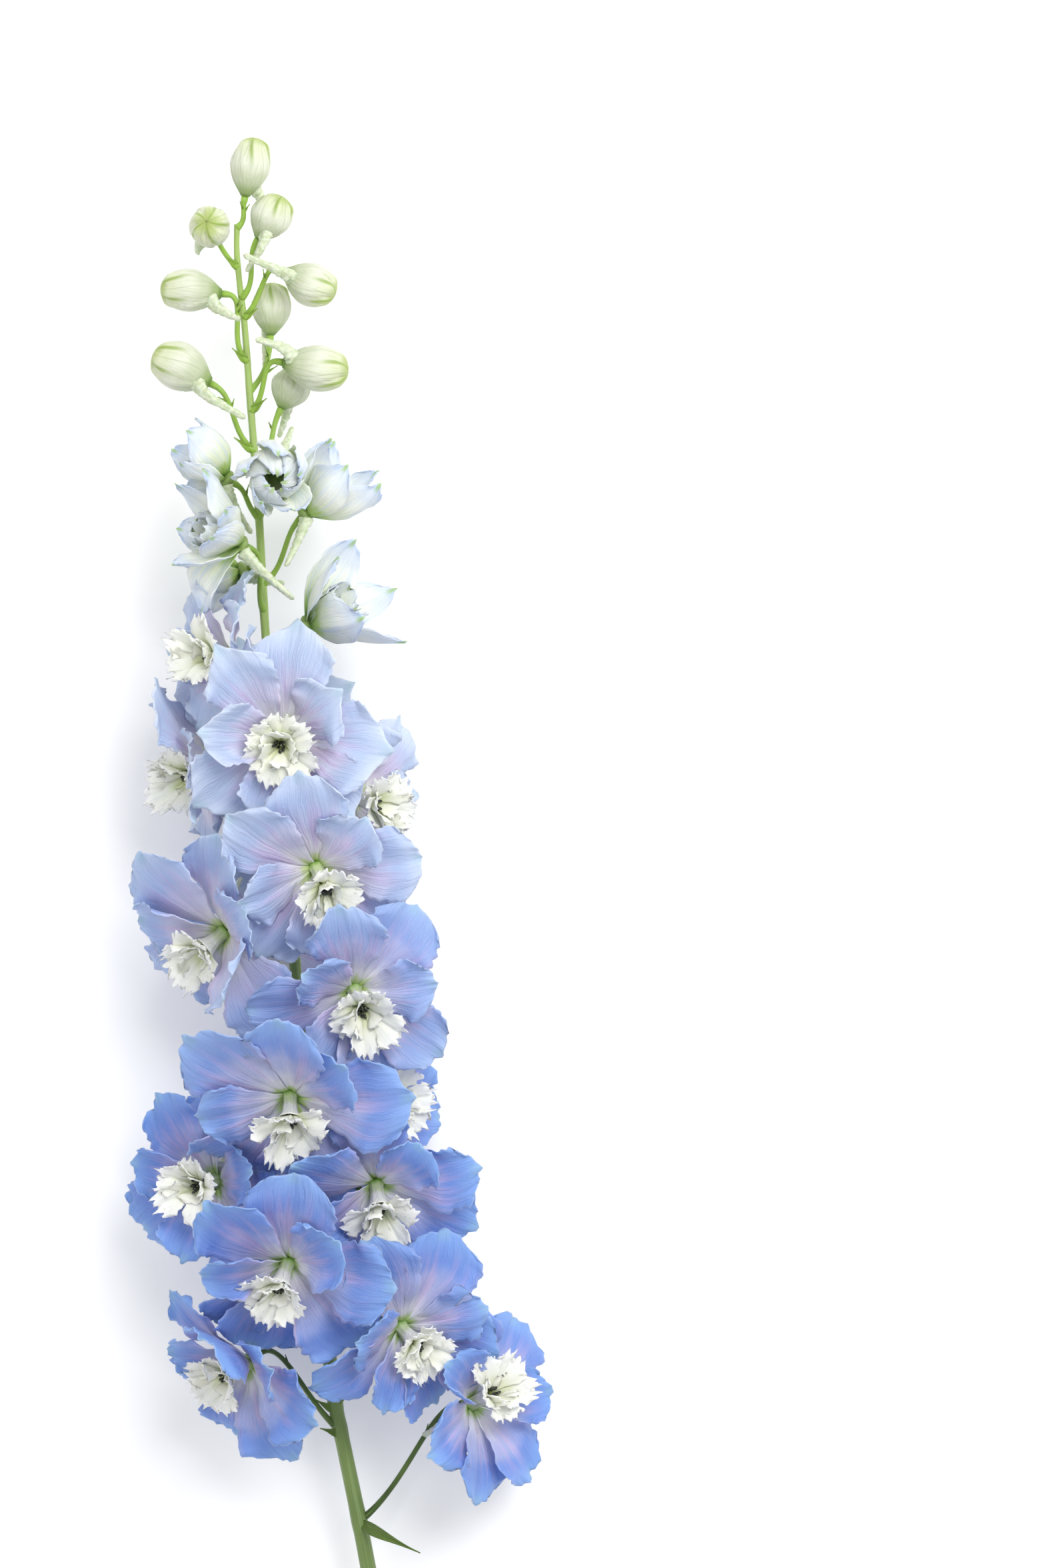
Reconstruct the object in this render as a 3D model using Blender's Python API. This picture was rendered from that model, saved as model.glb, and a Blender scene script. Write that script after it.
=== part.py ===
"""Delphinium flower spike: one cut stem of pale blue florets, lying on its back.

Lengths are millimetres and angles degrees, turned into metres and radians where
they are used. Seen from above, +X is to the right, +Y runs along the spike to its
tip, and +Z is up from the surface that it lies on, which is at z = 0.
"""

import math
import random
from dataclasses import dataclass, replace

import bmesh
import bpy
from mathutils import Matrix, Vector
from mathutils.bvhtree import BVHTree

MM = 0.001
WELD = 0.000001

# Stem: its middle line from the cut end to the tip, and its thickness
STEM_LINE = (
    (22.0, -259.0, 2.8), (16.5, -215.0, 9.0), (9.4, -170.0, 15.5), (2.0, -132.0, 20.5),
    (-1.0, -114.0, 22.5), (-5.0, -70.0, 27.0), (-8.5, -25.0, 30.5), (-12.0, 15.0, 32.5),
    (-16.5, 65.0, 33.5), (-20.5, 111.0, 34.5), (-22.5, 148.0, 36.0), (-24.5, 174.0, 37.0),
    (-26.9, 206.0, 38.0), (-28.8, 222.0, 39.0), (-28.9, 234.0, 39.5),
)
STEM_ENDS_Y = (-259.0, 234.0)
STEM_THICK_CUT = 5.6
STEM_THICK_TIP = 1.7
STEM_SIDES = 8
STEM_STEP = 24.0

# Pedicels and bracts
PEDICEL_RADIUS = 0.85
PEDICEL_END_RADIUS = 1.3
PEDICEL_NECK = 1.5
PEDICEL_SIDES = 5
PEDICEL_SEGMENTS = 4
BRACT_HALF_WIDTH = 0.9
BRACT_LONGEST = 26.0
BRACT_ROOT_RISE = 28.0
BRACT_TIP_RISE = -12.0

# Sepals, receptacle, spur and bee of a floret
BLADE_THICK = 0.7
SEPAL_LENGTH = 30.0
SEPAL_HALF_WIDTH = 10.2
SEPAL_ROWS = (0.32, 0.62, 0.86, 1.0)
SEPAL_ROWS_FEW = (0.3, 0.7, 1.0)
BLADE_COLUMNS = (-1.0, 0.0, 1.0)
SEPAL_ROOT_RADIUS = 3.1
ROOT_SHARE = 0.66
INNER_LENGTH_SHARE = 0.8
INNER_WIDTH_SHARE = 0.85
INNER_EXTRA_RISE = 16.0
HUB_RADIUS = 3.4
HUB_BACK_RADIUS = 2.1
HUB_BACK = 2.4
HUB_FRONT = 0.6
SPUR_LENGTH = 17.0
SPUR_RADIUS = 1.9
SPUR_TIP_RADIUS = 0.9
SPUR_SEGMENTS = 4
BEE_LENGTH = 15.0
BEE_PETAL_LENGTH = 10.5
BEE_PETAL_HALF_WIDTH = 3.3
BEE_PETAL_ROWS = (0.55, 1.0)
BEE_PETAL_ROOT_RISE = 58.0
BEE_PETAL_TIP_RISE = 2.0
BEE_NOTCH = 0.2
BEE_THROAT_RADIUS = 1.1
BEE_MOUTH_RADIUS = 2.2
BEE_MOUTH_SHARE = 0.40
BEE_RIM = 1.1
SEAT_GAP = 0.3

# Buds
BUD_SIDES = 10
BUD_RIDGE = 0.05
BUD_RINGS = ((0.0, 0.28), (0.14, 0.70), (0.40, 1.0), (0.70, 0.92), (0.92, 0.42), (1.0, 0.0))
BUD_SPUR_SIDES = 5
BUD_SPUR_RADII = (1.5, 1.45, 1.2, 1.0, 0.7)
BUD_SPUR_ROOT = 3.0
BUD_SPUR_ROOT_ASIDE = 0.2
BUD_SPUR_KNEE_ASIDE = 0.5

# Clearing: how far a sepal may give way to what it touches
TEST_THICK = 1.3
NEAR_THICK = 1.0
BENDS = (0.0, -12.0, 12.0, -24.0, 24.0, -36.0, 36.0, -50.0, 50.0, -66.0, 66.0)
SWINGS = (0.0, -10.0, 10.0, -20.0, 20.0)
SHRINKS = (1.0, 0.86, 0.72, 0.58)
BEND_COST = 1.0 / 12.0
SWING_COST = 1.0 / 9.0
SHRINK_COST = 12.0
YIELD_ROUNDS = 3
ALL_ROUNDS = 9


def sepal_width(u):
    """Share of an open sepal's full width at a share of its length: a claw, a broad blade, a round end."""
    return math.sin(math.pi * (0.02 + 0.98 * u ** 2.1)) ** 0.85


def young_sepal_width(u):
    """The same for a sepal that still cups the flower: broad from near its root, with a pointed end."""
    return math.sin(math.pi * (0.08 + 0.92 * u ** 1.15)) ** 0.75


def petal_width(u):
    """The same for a petal of the bee: it widens from a point to a blunt end."""
    return min(1.0, 0.12 + 1.45 * u) * (1.0 - 0.2 * u * u)


@dataclass(frozen=True)
class Habit:
    """How far a flower has opened: rise of its sepals above the disc, how they curl, and their outline."""

    root_rise: float
    tip_rise: float
    cup: float
    tilt: float
    width: float
    outline: object = sepal_width


OPEN = Habit(root_rise=36.0, tip_rise=-6.0, cup=0.10, tilt=12.0, width=1.0)
FLAT = Habit(root_rise=26.0, tip_rise=-10.0, cup=0.02, tilt=10.0, width=1.0)
CUPPED = Habit(root_rise=46.0, tip_rise=66.0, cup=0.30, tilt=24.0, width=0.82, outline=young_sepal_width)
CLOSING = Habit(root_rise=40.0, tip_rise=98.0, cup=0.42, tilt=26.0, width=0.95, outline=young_sepal_width)
GLOBE = Habit(root_rise=22.0, tip_rise=122.0, cup=0.42, tilt=26.0, width=0.95, outline=young_sepal_width)


@dataclass(frozen=True)
class Bloom:
    """A flower on its pedicel: an open floret with a bee, or an opening one without."""

    name: str
    hub: tuple
    facing: tuple
    joint_y: float
    habit: Habit = OPEN
    length: float = SEPAL_LENGTH
    outer: int = 5
    inner: int = 3
    roll: float = 0.0
    bee: tuple = ()
    bee_petals: int = 5
    spur_turn: float = 0.0
    spur_length: float = SPUR_LENGTH
    pale: bool = False


@dataclass(frozen=True)
class Bud:
    """A closed bud: where it starts and ends, its thickness, and the end of its spur."""

    name: str
    base: tuple
    tip: tuple
    thick: float
    spur_end: tuple
    joint_y: float


@dataclass(frozen=True)
class Blade:
    """A sepal or a petal of the bee, measured from the middle of its flower."""

    length: float
    half_width: float
    root_rise: float
    tip_rise: float
    turn: float
    tilt: float
    cup: float
    wave: float
    phase: float
    floor: float
    rows: tuple
    root_radius: float
    root_height: float
    outline: object = sepal_width
    notched: bool = False


BLOOMS = (
    Bloom("floret_01", (-29.0, 103.0, 40.0), (-0.86, 0.10, 0.50), 84.0, length=26.0, roll=6.0,
          bee=(-13.5, 2.5), pale=True, spur_turn=-40.0),
    Bloom("floret_02", (-37.0, 72.0, 29.0), (-0.84, -0.28, 0.05), 58.0, length=27.0, inner=2, roll=20.0,
          bee=(-12.0, -6.0), bee_petals=5, pale=True),
    Bloom("floret_03", (-14.0, 80.5, 57.0), (-0.05, -0.16, 0.98), 62.0, roll=8.0, bee=(-1.5, -5.0),
          bee_petals=6, pale=True),
    Bloom("floret_04", (-4.5, 41.5, 58.0), (0.14, -0.44, 0.88), 18.0, roll=-12.0, bee=(5.0, -11.0)),
    Bloom("floret_05", (-32.0, 22.0, 46.0), (-0.52, -0.38, 0.76), -2.0, length=32.0, roll=14.0,
          bee=(-12.0, -10.0)),
    Bloom("floret_06", (6.5, 5.0, 53.0), (0.26, -0.40, 0.88), -20.0, length=29.0, roll=30.0, bee=(4.5, -10.0),
          spur_turn=40.0),
    Bloom("floret_07", (-12.0, -26.0, 61.0), (-0.02, -0.48, 0.87), -52.0, length=34.0, roll=-5.0,
          bee=(0.0, -13.0)),
    Bloom("floret_08", (-35.0, -53.0, 38.0), (-0.56, -0.12, 0.82), -72.0, length=29.0, roll=18.0,
          bee=(-9.5, -2.0)),
    Bloom("floret_09", (13.0, -53.0, 49.0), (0.18, -0.55, 0.81), -78.0, length=30.0, roll=-22.0,
          bee=(2.0, -13.0), spur_turn=30.0),
    Bloom("floret_10", (-13.0, -76.0, 54.0), (-0.06, -0.52, 0.85), -100.0, length=31.0, roll=4.0,
          bee=(-4.5, -12.5)),
    Bloom("floret_11", (-25.0, -107.5, 36.0), (-0.60, -0.46, 0.64), -130.0, length=29.0, roll=28.0,
          bee=(-12.5, -6.5)),
    Bloom("floret_12", (20.0, -96.5, 40.0), (0.50, -0.42, 0.75), -122.0, length=30.0, roll=10.0,
          bee=(9.0, -9.0)),
    Bloom("floret_13", (41.0, -121.0, 26.0), (0.66, 0.10, 0.70), -158.0, length=28.0, inner=2, roll=36.0,
          bee=(11.0, 6.0), spur_turn=-120.0),
    Bloom("floret_14", (9.5, -28.0, 33.0), (0.84, -0.12, 0.50), -48.0, length=27.0, inner=2, roll=2.0,
          bee=(12.5, -1.5), bee_petals=5),
    Bloom("floret_15", (5.0, 62.0, 34.0), (0.84, -0.20, 0.42), 42.0, length=26.0, inner=2, roll=30.0,
          bee=(12.5, -3.0), bee_petals=5, pale=True),
    Bloom("floret_16", (-21.0, 84.0, 18.0), (-0.20, -0.32, -0.92), 76.0, FLAT, 26.0, 5, 0, 10.0,
          bee=(-2.0, -4.0), bee_petals=4, spur_turn=50.0, spur_length=12.0, pale=True),
    Bloom("floret_17", (-8.0, 52.0, 18.0), (0.18, -0.30, -0.93), 44.0, FLAT, 26.0, 5, 0, -20.0,
          bee=(2.0, -4.0), bee_petals=4, spur_turn=-50.0, spur_length=12.0),
    Bloom("floret_18", (-20.0, 20.0, 18.0), (-0.18, -0.30, -0.93), 12.0, FLAT, 27.0, 5, 0, 30.0,
          bee=(-2.0, -4.0), bee_petals=4, spur_turn=50.0, spur_length=12.0),
    Bloom("floret_19", (-3.5, -10.0, 18.0), (0.18, -0.30, -0.93), -18.0, FLAT, 27.0, 5, 0, 0.0,
          bee=(2.0, -4.0), bee_petals=4, spur_turn=-50.0, spur_length=12.0),
    Bloom("floret_20", (-15.0, -42.0, 16.0), (-0.18, -0.30, -0.93), -50.0, FLAT, 27.0, 5, 0, 18.0,
          bee=(-2.0, -4.0), bee_petals=4, spur_turn=50.0, spur_length=11.0),
    Bloom("floret_21", (1.0, -73.0, 15.0), (0.18, -0.30, -0.93), -82.0, FLAT, 27.0, 5, 0, -14.0,
          bee=(2.0, -4.0), bee_petals=4, spur_turn=-50.0, spur_length=10.0),
    Bloom("opening_01", (-32.5, 158.0, 40.0), (-0.82, 0.50, 0.20), 146.0, CLOSING, 19.0, 5, 0, -16.0,
          spur_turn=180.0, pale=True),
    Bloom("opening_02", (-17.8, 160.5, 45.5), (0.10, -0.30, 0.95), 146.0, GLOBE, 20.0, 5, 0, 0.0,
          spur_turn=0.0, pale=True),
    Bloom("opening_03", (-8.0, 148.0, 38.0), (0.66, 0.72, 0.20), 126.0, CLOSING, 23.0, 5, 0, 40.0,
          spur_turn=200.0, pale=True),
    Bloom("opening_04", (-28.0, 138.0, 45.0), (-0.84, 0.36, 0.42), 118.0, CUPPED, 24.0, 5, 2, 12.0,
          spur_turn=115.0, spur_length=22.0, pale=True),
    Bloom("opening_05", (-28.5, 130.5, 26.0), (-0.94, -0.30, -0.16), 120.0, CLOSING, 17.0, 5, 0, 30.0,
          spur_turn=215.0, spur_length=12.0, pale=True),
    Bloom("opening_06", (-7.0, 114.5, 41.0), (0.80, 0.45, 0.38), 94.0, CUPPED, 27.0, 5, 0, 14.0,
          spur_turn=180.0, spur_length=19.0, pale=True),
)

BUDS = (
    Bud("bud_01", (-26.5, 242.5, 39.5), (-23.3, 260.0, 40.0), 12.0, (-20.0, 239.0, 34.0), 233.0),
    Bud("bud_02", (-36.0, 231.5, 39.5), (-37.3, 233.5, 54.0), 12.4, (-41.0, 226.0, 34.0), 221.0),
    Bud("bud_03", (-22.4, 229.7, 41.0), (-15.0, 242.0, 43.5), 12.6, (-26.0, 219.5, 43.2), 212.0),
    Bud("bud_04", (-33.5, 213.1, 41.0), (-51.8, 214.9, 41.0), 12.8, (-27.6, 205.0, 46.0), 193.0),
    Bud("bud_05", (-14.5, 219.6, 41.0), (0.6, 212.5, 41.0), 13.2, (-26.5, 224.0, 49.5), 206.0),
    Bud("bud_06", (-19.2, 201.5, 31.0), (-18.6, 217.3, 30.0), 12.0, (-21.0, 190.0, 27.0), 184.0),
    Bud("bud_07", (-37.0, 186.3, 41.0), (-53.8, 195.5, 41.0), 14.6, (-26.0, 175.5, 46.5), 166.0),
    Bud("bud_08", (-15.0, 192.5, 41.0), (4.6, 189.3, 41.0), 14.0, (-23.0, 199.0, 47.0), 178.0),
    Bud("bud_09", (-16.0, 179.5, 31.0), (-10.5, 191.0, 30.0), 12.0, (-17.0, 171.0, 24.0), 160.0),
)

# Bracts on the stem: where they leave it, which way they point, and their length
BRACTS = (
    ((9.6, -158.0), (0.75, -0.30, 0.45), 26.0), ((0.0, -124.0), (-0.80, 0.50, 0.30), 9.0),
    ((2.0, -131.0), (-0.85, 0.30, 0.40), 8.0), ((-28.0, 193.0), (-0.70, 0.60, 0.40), 7.0),
    ((-25.0, 178.0), (0.75, 0.60, 0.30), 7.0), ((-27.0, 206.0), (0.80, 0.50, 0.30), 6.0),
    ((-23.7, 166.0), (-0.80, 0.55, 0.25), 8.0), ((-28.5, 221.0), (-0.70, 0.65, 0.30), 6.0),
)


def smooth_line(points, count):
    """Points along a smooth curve through the given ones, evenly spread over its spans."""
    knots = [Vector(p) for p in points]
    first = knots[0] * 2.0 - knots[1]
    last = knots[-1] * 2.0 - knots[-2]
    knots = [first] + knots + [last]
    spans = len(knots) - 3
    line = []
    for i in range(count + 1):
        place = min(i * spans / count, spans - 1e-6)
        k = int(place)
        t = place - k
        a, b, c, d = knots[k:k + 4]
        point = (b * 2.0 + (c - a) * t + (a * 2.0 - b * 5.0 + c * 4.0 - d) * t * t
                 + (b * 3.0 - a - c * 3.0 + d) * t * t * t) * 0.5
        line.append(point)
    return line


STEM_COUNT = int((STEM_ENDS_Y[1] - STEM_ENDS_Y[0]) / STEM_STEP)
STEM_POINTS = smooth_line(STEM_LINE, STEM_COUNT)


def stem_radius(y):
    """Radius of the stem at a height along it."""
    share = (y - STEM_ENDS_Y[0]) / (STEM_ENDS_Y[1] - STEM_ENDS_Y[0])
    return 0.5 * (STEM_THICK_CUT + (STEM_THICK_TIP - STEM_THICK_CUT) * share)


def stem_at(y):
    """Point of the stem's middle line at a height along it."""
    for low, high in zip(STEM_POINTS, STEM_POINTS[1:]):
        if y <= high.y:
            return low.lerp(high, (y - low.y) / (high.y - low.y))
    return STEM_POINTS[-1].copy()


def flower_axes(facing):
    """Up, right and forward of a flower that looks along facing, up being nearest the spike's tip."""
    forward = Vector(facing).normalized()
    up = Vector((0.0, 1.0, 0.0))
    up = (up - forward * up.dot(forward)).normalized()
    return up, up.cross(forward), forward


def blade_point(blade, u, v):
    """Middle surface of a blade, and its normal, in its flower's up, right and forward axes."""
    root = math.radians(blade.root_rise)
    bend = math.radians(blade.tip_rise) - root
    if abs(bend) < 0.01:
        bend = 0.01
    rise = root + bend * u
    out = blade.length * (math.sin(rise) - math.sin(root)) / bend
    forward = blade.length * (math.cos(root) - math.cos(rise)) / bend
    side = blade.half_width * blade.outline(u) * v
    tilt = math.radians(blade.tilt)
    lift = side * math.sin(tilt) + blade.cup * side * side / blade.half_width
    lift += blade.wave * v * v * math.sin(2.0 * math.pi * u + blade.phase) * u
    out += blade.root_radius - lift * math.sin(rise)
    forward += blade.root_height + lift * math.cos(rise)
    across = side * math.cos(tilt)
    cos_turn = math.cos(math.radians(blade.turn))
    sin_turn = math.sin(math.radians(blade.turn))
    point = (out * cos_turn - across * sin_turn, out * sin_turn + across * cos_turn, forward)
    lean = -math.sin(rise) * math.cos(tilt)
    slip = -math.sin(tilt)
    level = math.cos(rise) * math.cos(tilt)
    normal = (lean * cos_turn - slip * sin_turn, lean * sin_turn + slip * cos_turn, level)
    return point, normal


def blade_faces(blade, rows, origin, axes, thick):
    """Front and back grids of points of a blade, pressed flat where the surface below stops it."""
    up, right, forward = axes
    front = []
    back = []
    for u in rows:
        single = u == 0.0 or (u == 1.0 and not blade.notched)
        front_row = []
        back_row = []
        for v in (0.0,) if single else BLADE_COLUMNS:
            place = u - BEE_NOTCH if blade.notched and u == 1.0 and v == 0.0 else u
            local, slope = blade_point(blade, place, v)
            point = origin + up * local[0] + right * local[1] + forward * local[2]
            normal = (up * slope[0] + right * slope[1] + forward * slope[2]) * (0.5 * thick)
            pair = [point + normal, point - normal]
            low = min(pair, key=lambda p: p.z)
            high = max(pair, key=lambda p: p.z)
            low.z = max(low.z, blade.floor)
            high.z = max(high.z, blade.floor + thick)
            front_row.append(pair[0])
            back_row.append(pair[1])
        front.append(front_row)
        back.append(back_row)
    return front, back


def strip(low, high):
    """Triangles between two rows of a grid, either of which may be a single point."""
    if len(high) == 1:
        return [(a, b, high[0]) for a, b in zip(low, low[1:])]
    if len(low) == 1:
        return [(low[0], b, a) for a, b in zip(high, high[1:])]
    triangles = []
    for a, b, c, d in zip(low, low[1:], high[1:], high):
        triangles += [(a, b, c), (a, c, d)]
    return triangles


def outline(grid):
    """The edge of a grid of points, once round."""
    right = [row[-1] for row in grid[1:-1]]
    left = [row[0] for row in grid[-2:0:-1]]
    return grid[0] + right + grid[-1][::-1] + left


def numbered(grid, points):
    """Add a grid's points to a list, and return the grid as numbers in that list."""
    rows = []
    for row in grid:
        rows.append(list(range(len(points), len(points) + len(row))))
        points += row
    return rows


def face_triangles(front, back):
    """Triangles of the two faces of a blade, split alike."""
    triangles = []
    for low, high in zip(front, front[1:]):
        triangles += strip(low, high)
    for low, high in zip(back, back[1:]):
        triangles += [t[::-1] for t in strip(low, high)]
    return triangles


def rim_triangles(near, far):
    """Triangles of the thin rim between two like lines of points."""
    triangles = []
    for a, b, c, d in zip(near, far, far[1:], near[1:]):
        triangles += [(a, b, c), (a, c, d)]
    return triangles


def blade_solid(blade, rows, origin, axes, thick=BLADE_THICK):
    """Points and triangles of a blade as a closed solid of its own."""
    points = []
    front, back = [numbered(grid, points) for grid in blade_faces(blade, rows, origin, axes, thick)]
    near = outline(front)
    far = outline(back)
    triangles = face_triangles(front, back) + rim_triangles(near + near[:1], far + far[:1])
    return points, triangles


def grow_blade(points, faces, root, blade, origin, axes, thick=BLADE_THICK):
    """Grow a blade out of one side of a ring: root holds that side's corners, back pair, then front pair."""
    front, back = [numbered(grid, points) for grid in blade_faces(blade, blade.rows, origin, axes, thick)]
    back_left, back_right, front_left, front_right = root
    left, middle, right = front[0]
    faces += [(front_left, front_right, middle), (front_left, middle, left), (front_right, right, middle)]
    left, middle, right = back[0]
    faces += [(back_right, back_left, middle), (back_left, left, middle), (back_right, middle, right)]
    faces += face_triangles(front, back)
    near = [front_left] + [row[0] for row in front]
    far = [back_left] + [row[0] for row in back]
    near += front[-1][1:] + [row[-1] for row in front[-2::-1]] + [front_right]
    far += back[-1][1:] + [row[-1] for row in back[-2::-1]] + [back_right]
    faces += rim_triangles(near, far)


def ring_points(centre, axes, radius, angles):
    """Points round a centre, at the given angles from up to right."""
    up, right = axes[:2]
    return [centre + (up * math.cos(a) + right * math.sin(a)) * radius for a in angles]


def side_angles(count, roll):
    """Angles of the middles of a ring's sides, one side for each blade."""
    return [math.radians(roll + 360.0 * k / count) for k in range(count)]


def corner_angles(count, roll):
    """Angles of both corners of each side, which leave a narrow gap between one side and the next."""
    spread = ROOT_SHARE * math.pi / count
    return [middle + turn for middle in side_angles(count, roll) for turn in (-spread, spread)]


def collar(back, low, high, skip=None):
    """Faces of a ring from which blades grow: its ends and what lies between the blades' roots."""
    count = len(back)
    faces = [tuple(back), tuple(high)]
    for k in range(count):
        a, b, c = 2 * k, 2 * k + 1, (2 * k + 2) % (2 * count)
        faces += [(back[k], low[a], low[b]), (low[b], low[c], high[c], high[b])]
        if k != skip:
            faces.append((back[k], low[b], low[c], back[(k + 1) % count]))
    return faces


def band(low, high):
    """Quads between two rings of point numbers."""
    count = len(low)
    return [(low[k], low[(k + 1) % count], high[(k + 1) % count], high[k]) for k in range(count)]


def tube_solid(line, radii, sides, ridge=0.0, start_side=None):
    """Points and faces of a closed tube along a line; a last radius of 0 closes it in a point."""
    points = []
    rings = []
    across = start_side
    for i, (centre, radius) in enumerate(zip(line, radii)):
        along = (line[min(i + 1, len(line) - 1)] - line[max(i - 1, 0)]).normalized()
        if across is None:
            across = along.orthogonal()
        across = (across - along * across.dot(along)).normalized()
        second = along.cross(across)
        if radius == 0.0:
            rings.append([len(points)])
            points.append(centre.copy())
            continue
        ring = []
        for k in range(sides):
            angle = 2.0 * math.pi * k / sides
            reach = radius * (1.0 + ridge * math.cos(0.5 * sides * angle))
            ring.append(len(points))
            points.append(centre + across * (reach * math.cos(angle)) + second * (reach * math.sin(angle)))
        rings.append(ring)
    faces = [tuple(reversed(rings[0]))]
    for low, high in zip(rings, rings[1:]):
        if len(high) == 1:
            faces += [(low[k], low[(k + 1) % sides], high[0]) for k in range(sides)]
        else:
            faces += band(low, high)
    if len(rings[-1]) > 1:
        faces.append(tuple(rings[-1]))
    return points, faces


def bezier(a, b, c, d, segments):
    """Points along a cubic curve from a to d."""
    line = []
    for i in range(segments + 1):
        t = i / segments
        s = 1.0 - t
        line.append(a * s ** 3 + b * (3.0 * s * s * t) + c * (3.0 * s * t * t) + d * t ** 3)
    return line


def rings_of(bloom):
    """Which ring each sepal of a flower belongs to, in order round the hub: 0 is outer, 1 inner."""
    count = bloom.outer + bloom.inner
    inner = {int((i + 0.5) * count / bloom.inner) for i in range(bloom.inner)}
    return [1 if k in inner else 0 for k in range(count)]


def sepals_of(bloom):
    """The sepals of a flower in order round the hub, each a little different from the next."""
    draw = random.Random(bloom.name)
    habit = bloom.habit
    rings = rings_of(bloom)
    lying = bloom.facing[2] < 0.0
    blades = []
    for k, ring in enumerate(rings):
        share = draw.uniform(0.94, 1.05) * (INNER_LENGTH_SHARE if ring else 1.0)
        width = draw.uniform(0.92, 1.08) * (INNER_WIDTH_SHARE if ring else 1.0)
        blades.append(Blade(
            length=bloom.length * share,
            half_width=SEPAL_HALF_WIDTH * bloom.length / SEPAL_LENGTH * width * habit.width,
            root_rise=habit.root_rise + INNER_EXTRA_RISE * ring + draw.uniform(-3.0, 3.0),
            tip_rise=habit.tip_rise + INNER_EXTRA_RISE * ring + draw.uniform(-10.0, 10.0),
            turn=bloom.roll + 360.0 * k / len(rings) + draw.uniform(-4.0, 4.0),
            tilt=habit.tilt + draw.uniform(-3.0, 3.0),
            cup=habit.cup + draw.uniform(-0.06, 0.1),
            wave=draw.uniform(0.4, 0.9),
            phase=draw.uniform(0.0, 6.28),
            floor=0.9 * (k % 2),
            rows=SEPAL_ROWS_FEW if ring or lying else SEPAL_ROWS,
            root_radius=SEPAL_ROOT_RADIUS,
            root_height=0.0,
            outline=habit.outline,
        ))
    return blades


def bee_line(bloom):
    """From the throat to the middle of the bee, as a direction, and the bee's length."""
    forward = Vector(bloom.facing).normalized()
    away = Vector((bloom.bee[0], bloom.bee[1], 0.0))
    rest = max(BEE_LENGTH ** 2 - away.length_squared, 9.0)
    away.z = math.copysign(math.sqrt(rest), forward.z)
    length = min(away.length, BEE_LENGTH)
    return away.normalized(), length


def bee_petals_of(bloom):
    """The ragged white petals of a bee."""
    draw = random.Random(bloom.name + "_bee")
    length = bee_line(bloom)[1]
    blades = []
    for k in range(bloom.bee_petals):
        blades.append(Blade(
            length=BEE_PETAL_LENGTH * draw.uniform(0.88, 1.1),
            half_width=BEE_PETAL_HALF_WIDTH * draw.uniform(0.92, 1.1),
            root_rise=BEE_PETAL_ROOT_RISE + draw.uniform(-6.0, 6.0),
            tip_rise=BEE_PETAL_TIP_RISE + draw.uniform(-18.0, 18.0),
            turn=360.0 * k / bloom.bee_petals + draw.uniform(-6.0, 6.0) + bloom.roll,
            tilt=6.0,
            cup=0.15,
            wave=0.4,
            phase=draw.uniform(0.0, 6.28),
            floor=0.9,
            rows=BEE_PETAL_ROWS,
            root_radius=0.9 * BEE_MOUTH_RADIUS,
            root_height=BEE_MOUTH_SHARE * length + 0.5 * BEE_RIM,
            outline=petal_width,
            notched=True,
        ))
    return blades


def bee_solid(bloom):
    """The bee: a throat tube that widens to a mouth, with the petals grown from its rim."""
    hub = Vector(bloom.hub)
    forward = Vector(bloom.facing).normalized()
    away, length = bee_line(bloom)
    foot = hub + forward * (HUB_FRONT + SEAT_GAP)
    mouth = foot + away * (BEE_MOUTH_SHARE * length)
    axes = flower_axes(away)
    count = bloom.bee_petals
    corners = corner_angles(count, bloom.roll)
    grids = [
        ring_points(foot, flower_axes(forward), BEE_THROAT_RADIUS, side_angles(count, bloom.roll)),
        ring_points(mouth, axes, BEE_MOUTH_RADIUS, corners),
        ring_points(mouth + away * BEE_RIM, axes, BEE_MOUTH_RADIUS, corners),
    ]
    points = []
    base, low, high = numbered(grids, points)
    faces = collar(base, low, high)
    for k, blade in enumerate(bee_petals_of(bloom)):
        a, b = 2 * k, 2 * k + 1
        grow_blade(points, faces, (low[a], low[b], high[a], high[b]), blade, foot, axes)
    return points, faces


def spur_side(bloom):
    """Number of the hub's gap, between two sepals, from which the spur leaves."""
    count = bloom.outer + bloom.inner
    return round((bloom.spur_turn - bloom.roll) * count / 360.0 - 0.5) % count


def grow_spur(points, faces, root, bloom):
    """Grow the spur out of a side of the hub's back: it leaves outwards and curves to the back."""
    forward = Vector(bloom.facing).normalized()
    corners = [points[i].copy() for i in root]
    start = sum(corners, Vector()) / 4.0
    side = start - Vector(bloom.hub)
    side = (side - forward * side.dot(forward)).normalized()
    reach = bloom.spur_length
    middle = start + side * (0.26 * reach) - forward * (0.30 * reach)
    end = start + side * (0.50 * reach) - forward * (0.80 * reach)
    line = bezier(start, start.lerp(middle, 0.8), middle.lerp(end, 0.35), end, SPUR_SEGMENTS)
    across = (corners[1] - corners[0]).normalized()
    last = list(root)
    for i in range(1, SPUR_SEGMENTS + 1):
        radius = SPUR_RADIUS + (SPUR_TIP_RADIUS - SPUR_RADIUS) * i / SPUR_SEGMENTS
        centre = line[i].copy()
        centre.z = max(centre.z, radius)
        along = (line[i] - line[i - 1]).normalized()
        first = (across - along * across.dot(along)).normalized() * radius
        second = first.cross(along)
        if second.dot(corners[3] - corners[0]) < 0.0:
            second = -second
        low = centre - second
        high = centre + second
        ring = [low - first, low + first, high + first, high - first]
        numbers = list(range(len(points), len(points) + 4))
        points += ring
        faces += band(last, numbers)
        last = numbers
    faces.append(tuple(last))


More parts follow.
